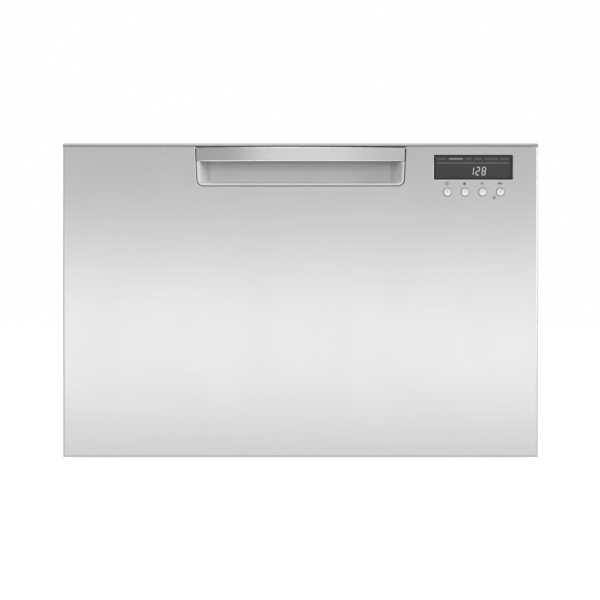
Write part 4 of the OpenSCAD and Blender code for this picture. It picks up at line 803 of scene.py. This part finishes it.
def make_display():
    """What shows in the window: a smoked field, words, a line and a number."""
    glass = WINDOW_LOW.y
    field = block_print(x=217.2, z=368.5, width=93.6, height=25.6, y=glass)
    field.name = "window_field"
    dress(field, field_smoke)
    face = glass - PRINT
    line = [block_print(x=217.4, z=373.8, width=90.5, height=1.25, y=face)]
    dim = [block_print((a + b) / 2, WORDS_Z, b - a, 2.8, face) for a, b in DIM_WORDS]
    lit = [block_print(x=195.8, z=WORDS_Z, width=17.7, height=2.4, y=face)]
    strokes = []
    for digit, x in DIGITS:
        strokes += number_print(digit, x, DIGITS_Z, width=3.9, height=9.6, thick=1.1, y=face)
    number = join(strokes, "window_number")
    lean = Matrix.Shear("XY", 4, (math.tan(math.radians(DIGIT_LEAN)), 0))
    middle = Matrix.Translation(mm(0, 0, DIGITS_Z))
    number.data.transform(middle @ lean @ middle.inverted())
    shown = ((join(line, "window_line"), print_grey),
             (join(dim, "window_words_dim"), print_dim),
             (join(lit, "window_word_lit"), print_word),
             (number, print_lit))
    for piece, material in shown:
        dress(piece, material)
    for piece in (field, *(piece for piece, _ in shown)):
        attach(piece, "drawer")


def make_icons():
    """The signs over the buttons: power, a lock, two chevrons, start and pause."""
    y, z = FRONT, ICONS_Z
    power, lock, program, start = (ICONS_X + n * ICON_PITCH for n in range(4))
    icons = [ring_print(power, z, radius=2.1, band=0.6, y=y),
             block_print(power, z + 0.5, 0.7, 2.2, y),
             block_print(lock, z - 0.6, 3.0, 2.3, y),
             ring_print(lock, z + 0.9, radius=1.2, band=0.55, y=y, turn=200),
             wedge_print(start - 0.9, z, 2.0, y),
             block_print(start + 1.3, z, 0.8, 2.6, y),
             block_print(start + 2.7, z, 0.7, 2.6, y)]
    for shift in (-0.9, 0.8):
        icons += chevron_print(program + shift, z, size=1.6, band=0.7, y=y)
    marks = join(icons, "button_icons")
    dress(marks, icon_grey)
    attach(marks, "drawer")


# ---------------------------------------------------------------- fasteners

def pan_screw():
    """A pan-head screw with a cross recess, upright, seated at z 0."""
    bpy.ops.mesh.primitive_cylinder_add(vertices=24, radius=3.4 * MM, depth=2.0 * MM,
                                        location=mm(0, 0, 1.0))
    head = settle(bpy.context.object, "pan_screw")
    edit(head)
    pick(head, lambda f: f.normal.z > 0.9)
    bpy.ops.mesh.inset(thickness=0.9 * MM)
    bpy.ops.transform.translate(value=mm(0, 0, 0.25))
    pick(head, lambda e: all(v.co.z > 1.9 * MM for v in e.verts) and len(e.link_faces) == 2
         and all(math.hypot(v.co.x, v.co.y) > 3.2 * MM for v in e.verts), kind="EDGE")
    bpy.ops.mesh.bevel(offset=0.7 * MM, segments=3)
    leave()
    for turn in (0, 90):
        bpy.ops.mesh.primitive_cube_add(size=1, location=mm(0, 0, 2.0),
                                        rotation=(0, 0, math.radians(turn)))
        slot = bpy.context.object
        slot.scale = mm(3.2, 0.7, 1.6)
        cut_away(head, settle(slot, "slot"))
    only(head)
    bpy.ops.object.shade_smooth_by_angle(angle=math.radians(35))
    return head


def hex_screw():
    """A sheet-metal screw: six-sided head on a washer flange."""
    bpy.ops.mesh.primitive_cylinder_add(vertices=24, radius=4.4 * MM, depth=0.8 * MM,
                                        location=mm(0, 0, 0.4))
    flange = settle(bpy.context.object, "flange")
    edit(flange)
    pick(flange, lambda e: all(v.co.z > 0.7 * MM for v in e.verts), kind="EDGE")
    bpy.ops.mesh.bevel(offset=0.25 * MM, segments=2)
    leave()
    bpy.ops.mesh.primitive_cylinder_add(vertices=6, radius=3.3 * MM, depth=1.6 * MM,
                                        location=mm(0, 0, 1.5))
    head = settle(bpy.context.object, "hex_screw")
    edit(head)
    pick(head, lambda f: f.normal.z > 0.9)
    bpy.ops.mesh.inset(thickness=0.35 * MM)
    bpy.ops.transform.translate(value=mm(0, 0, 0.12))
    bpy.ops.mesh.inset(thickness=0.5 * MM)
    bpy.ops.mesh.inset(thickness=0.2 * MM)
    bpy.ops.transform.translate(value=mm(0, 0, -0.5))
    leave()
    return join([flange, head], "hex_screw")


def fasten(model, name, body, places):
    """Copies of a screw at (x, y, z, direction), in millimetres, as one piece."""
    made = []
    for n, (x, y, z, way) in enumerate(places):
        turn = Matrix.Rotation(math.radians(37 * n % 360), 4, "Z")
        stand = Vector((0, 0, 1)).rotation_difference(Vector(way)).to_matrix().to_4x4()
        made.append(copy_of(model, Matrix.Translation(mm(x, y, z)) @ stand @ turn))
    piece = join(made, name)
    dress(piece, screw_zinc)
    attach(piece, body)


# in millimetres
SWAGE = 1.8                                # how far a side's pressed ribs stand out
REAR_STEP = 11.3                           # from the base pan's rear edge to the rear line
HEAD_SEAT = 1.0                            # from there to the seat of the back's screws
RUNNERS_Z = 300                            # height of the runners' middle line
PLATE_RING = 131                           # radius of the screws round the filter plate
DISPENSER_FACE = -226.55                   # y of the dispenser's flange
DISPENSER_Z = 310
BACKWARD, UPWARD = (0, 1, 0), (0, 0, 1)


def box_mm(node):
    """The corners of a node's box, and its middle, in millimetres."""
    low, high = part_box(node)
    return low / MM, high / MM, (low + high) / 2 / MM


def make_fasteners():
    pan, hexed = pan_screw(), hex_screw()
    side_low, side_high, _ = box_mm("chassis_side_right")
    sheet = side_high.x - SWAGE
    rear = box_mm("base_pan")[1].y + REAR_STEP
    _, runner_high, runner = box_mm("runner_outer_right")
    bracket = box_mm("tub_brackets")[1].x - 2
    sides, tops, hats, held = [], [], [], []
    for s in (-1, 1):
        out, inward = (s, 0, 0), (-s, 0, 0)
        sides += [(s * sheet, y, 12, out) for y in (-225, -90, 60, 200)]
        sides += [(s * sheet, rear - 6, z, out) for z in (40, 140, 240, 340)]
        sides += [(s * sheet, 86, 378, out)]
        tops += [(s * 285, y, side_high.z, UPWARD)
                 for y in (side_low.y + 18, rear - 30, rear - 6)]
        hats += [(s * (runner_high.x + 1.5), runner.y + y, RUNNERS_Z, out)
                 for y in (-180, 0, 180)]
        held += [(s * bracket, runner.y + y, RUNNERS_Z, inward)
                 for y in (-180, -60, 60, 180)]
    fasten(hexed, "side_screws", "chassis", sides)
    fasten(hexed, "top_screws", "chassis", tops)
    fasten(pan, "runner_screws", "chassis", hats)

    bay = box_mm("service_bay")[2]
    seat = rear + HEAD_SEAT
    behind = [(bay.x + x, seat, bay.z + z, BACKWARD) for x in (-60, 60) for z in (-46, 46)]
    behind += [(x, seat, 386, BACKWARD) for x in (-260, -90, 90, 260)]
    fasten(pan, "back_screws", "chassis", behind)

    fasten(pan, "bracket_screws", "drawer", held)
    plate_low, _, plate = box_mm("filter_plate")
    ring = []
    for angle in (20, 110, 200, 290):
        x = plate.x + PLATE_RING * math.cos(math.radians(angle))
        y = plate.y + PLATE_RING * math.sin(math.radians(angle))
        ring.append((x, y, plate_low.z + 2, UPWARD))
    fasten(pan, "plate_screws", "drawer", ring)
    corners = [(x, DISPENSER_FACE, DISPENSER_Z + z, BACKWARD)
               for x in (-79, 79) for z in (-29, 29)]
    fasten(pan, "dispenser_screws", "drawer", corners)
    for model in (pan, hexed):
        bpy.data.objects.remove(model)


# ---------------------------------------------------------------- studio

FLOOR_TONE = 0.58
WORLD_LIGHT = 0.24                         # what the white world gives as light
STRIP_Z = 0.132                            # height of the strip that the front reflects


def softbox(name, place, target, width, height, power, glossy=True, diffuse=True):
    """A rectangular lamp that the camera doesn't see. Metres and watts."""
    bpy.ops.object.light_add(type="AREA", location=place)
    lamp = bpy.context.object
    lamp.name = name
    lamp.data.shape = "RECTANGLE"
    lamp.data.size = width
    lamp.data.size_y = height
    lamp.data.energy = power
    lamp.rotation_euler = (Vector(target) - Vector(place)).to_track_quat("-Z", "Y").to_euler()
    lamp.visible_camera = False
    lamp.visible_glossy = glossy
    lamp.visible_diffuse = diffuse
    return lamp


def seen_directly(sheet):
    """One for camera, glossy and transmission rays, which show the background."""
    path = sheet.node("LightPath").outputs
    mirrored = sheet.maths("MAXIMUM", path["Is Glossy Ray"], path["Is Transmission Ray"])
    return sheet.maths("MAXIMUM", path["Is Camera Ray"], mirrored)


def light_only(lamp, pieces):
    """Keeps a lamp, and its reflection, to some pieces."""
    receivers = bpy.data.collections.new(lamp.name)
    for piece in pieces:
        receivers.objects.link(piece)
    lamp.light_linking.receiver_collection = receivers


def sheen(name, left, right, power, piece, ahead=4.0, low=0.18, high=1.08):
    """A soft light between two values of x that only one piece shows, as a reflection."""
    place = ((left + right) / 2, FRONT - ahead, (low + high) / 2)
    lamp = softbox(name, place, (place[0], FRONT, place[2]), right - left, high - low, power)
    light_only(lamp, [piece])


def make_studio():
    world = bpy.data.worlds.new("studio")
    scene.world = world
    world.use_nodes = True
    sheet = Sheet(world.node_tree)
    world.node_tree.nodes.clear()
    white = (1, 1, 1, 1)
    shown = sheet.node("Background", {"Color": white, "Strength": 1.0})
    lighting = sheet.node("Background", {"Color": white, "Strength": WORLD_LIGHT})
    mixed = sheet.node("MixShader", {0: seen_directly(sheet), 1: lighting.outputs[0],
                                     2: shown.outputs[0]})
    sheet.put(sheet.node("OutputWorld").inputs["Surface"], mixed.outputs[0])

    bpy.ops.mesh.primitive_plane_add(size=30, location=(0, 0, 0))
    floor = settle(bpy.context.object, "studio_floor")
    edit(floor)
    bpy.ops.mesh.subdivide(number_cuts=6)
    leave()
    paint = bpy.data.materials.new("studio_floor")
    paint.use_nodes = True
    sheet = Sheet(paint.node_tree)
    paint.node_tree.nodes.clear()
    matt = sheet.node("BsdfDiffuse", {"Color": (FLOOR_TONE, FLOOR_TONE, FLOOR_TONE, 1)})
    lift = sheet.node("Emission", {"Color": white})
    place = sheet.node("TexCoord").outputs["Object"]
    away = sheet.node("VectorMath", {0: place}, operation="LENGTH").outputs["Value"]
    mirrored = sheet.node("LightPath").outputs["Is Glossy Ray"]
    shown = sheet.maths("ADD", sheet.ramp(away, 0.8, 3.0, 0.80, 0.97),
                        sheet.maths("MULTIPLY", mirrored, 0.10))
    sheet.put(lift.inputs["Strength"], sheet.maths("MULTIPLY", seen_directly(sheet), shown))
    both = sheet.node("AddShader", {0: matt.outputs[0], 1: lift.outputs[0]})
    sheet.put(sheet.node("OutputMaterial").inputs["Surface"], both.outputs[0])
    dress(floor, paint)

    front_pieces = [ob for ob in scene.objects if ob.type == "MESH"
                    and max(corner[1] for corner in ob.bound_box) < FRONT + 0.08]
    strip = softbox("strip_ahead", (0, FRONT - 1.0, STRIP_Z), (0, FRONT, STRIP_Z),
                    width=3.4, height=0.30, power=5.5, diffuse=False)
    light_only(strip, front_pieces)
    glint = softbox("box_glint", (2.2, -1.0, 1.0), (0, 0, 0.2), width=1.4, height=1.6, power=32)
    light_only(glint, front_pieces)
    softbox("box_right", (2.2, -1.0, 1.0), (0, 0, 0.2), width=1.4, height=1.6, power=18)
    softbox("box_left", (-2.2, -1.3, 0.8), (0, 0, 0.3), width=1.4, height=1.2, power=9,
            glossy=False)
    softbox("box_above", (0.2, -0.3, 2.2), (0, 0, 0.2), width=2.0, height=1.6, power=12)
    softbox("box_key", (-0.2, FRONT - 1.3, 1.55), (0, FRONT, 0.3), width=1.6, height=0.8,
            power=10)
    softbox("box_front", (-0.3, FRONT - 3.2, 1.05), (0, FRONT, 0.9), width=4.0, height=1.3,
            power=42, glossy=False)
    bar = bpy.data.objects["grip_bar"]
    across = 0.516                                # where the two sheens meet
    sheen("sheen_middle", -0.458, across, power=2.84, piece=bar)
    sheen("sheen_right", across, 1.13, power=0.98, piece=bar)
    softbox("box_behind", (-1.2, 2.2, 1.4), (0, 0, 0.2), width=3.4, height=2.4, power=21)


# ---------------------------------------------------------------- making

set_camera()
dress_nodes()
make_skin()
make_trim()
make_pocket()
make_bar()
make_window()
make_buttons()
make_display()
make_icons()
make_fasteners()
make_studio()
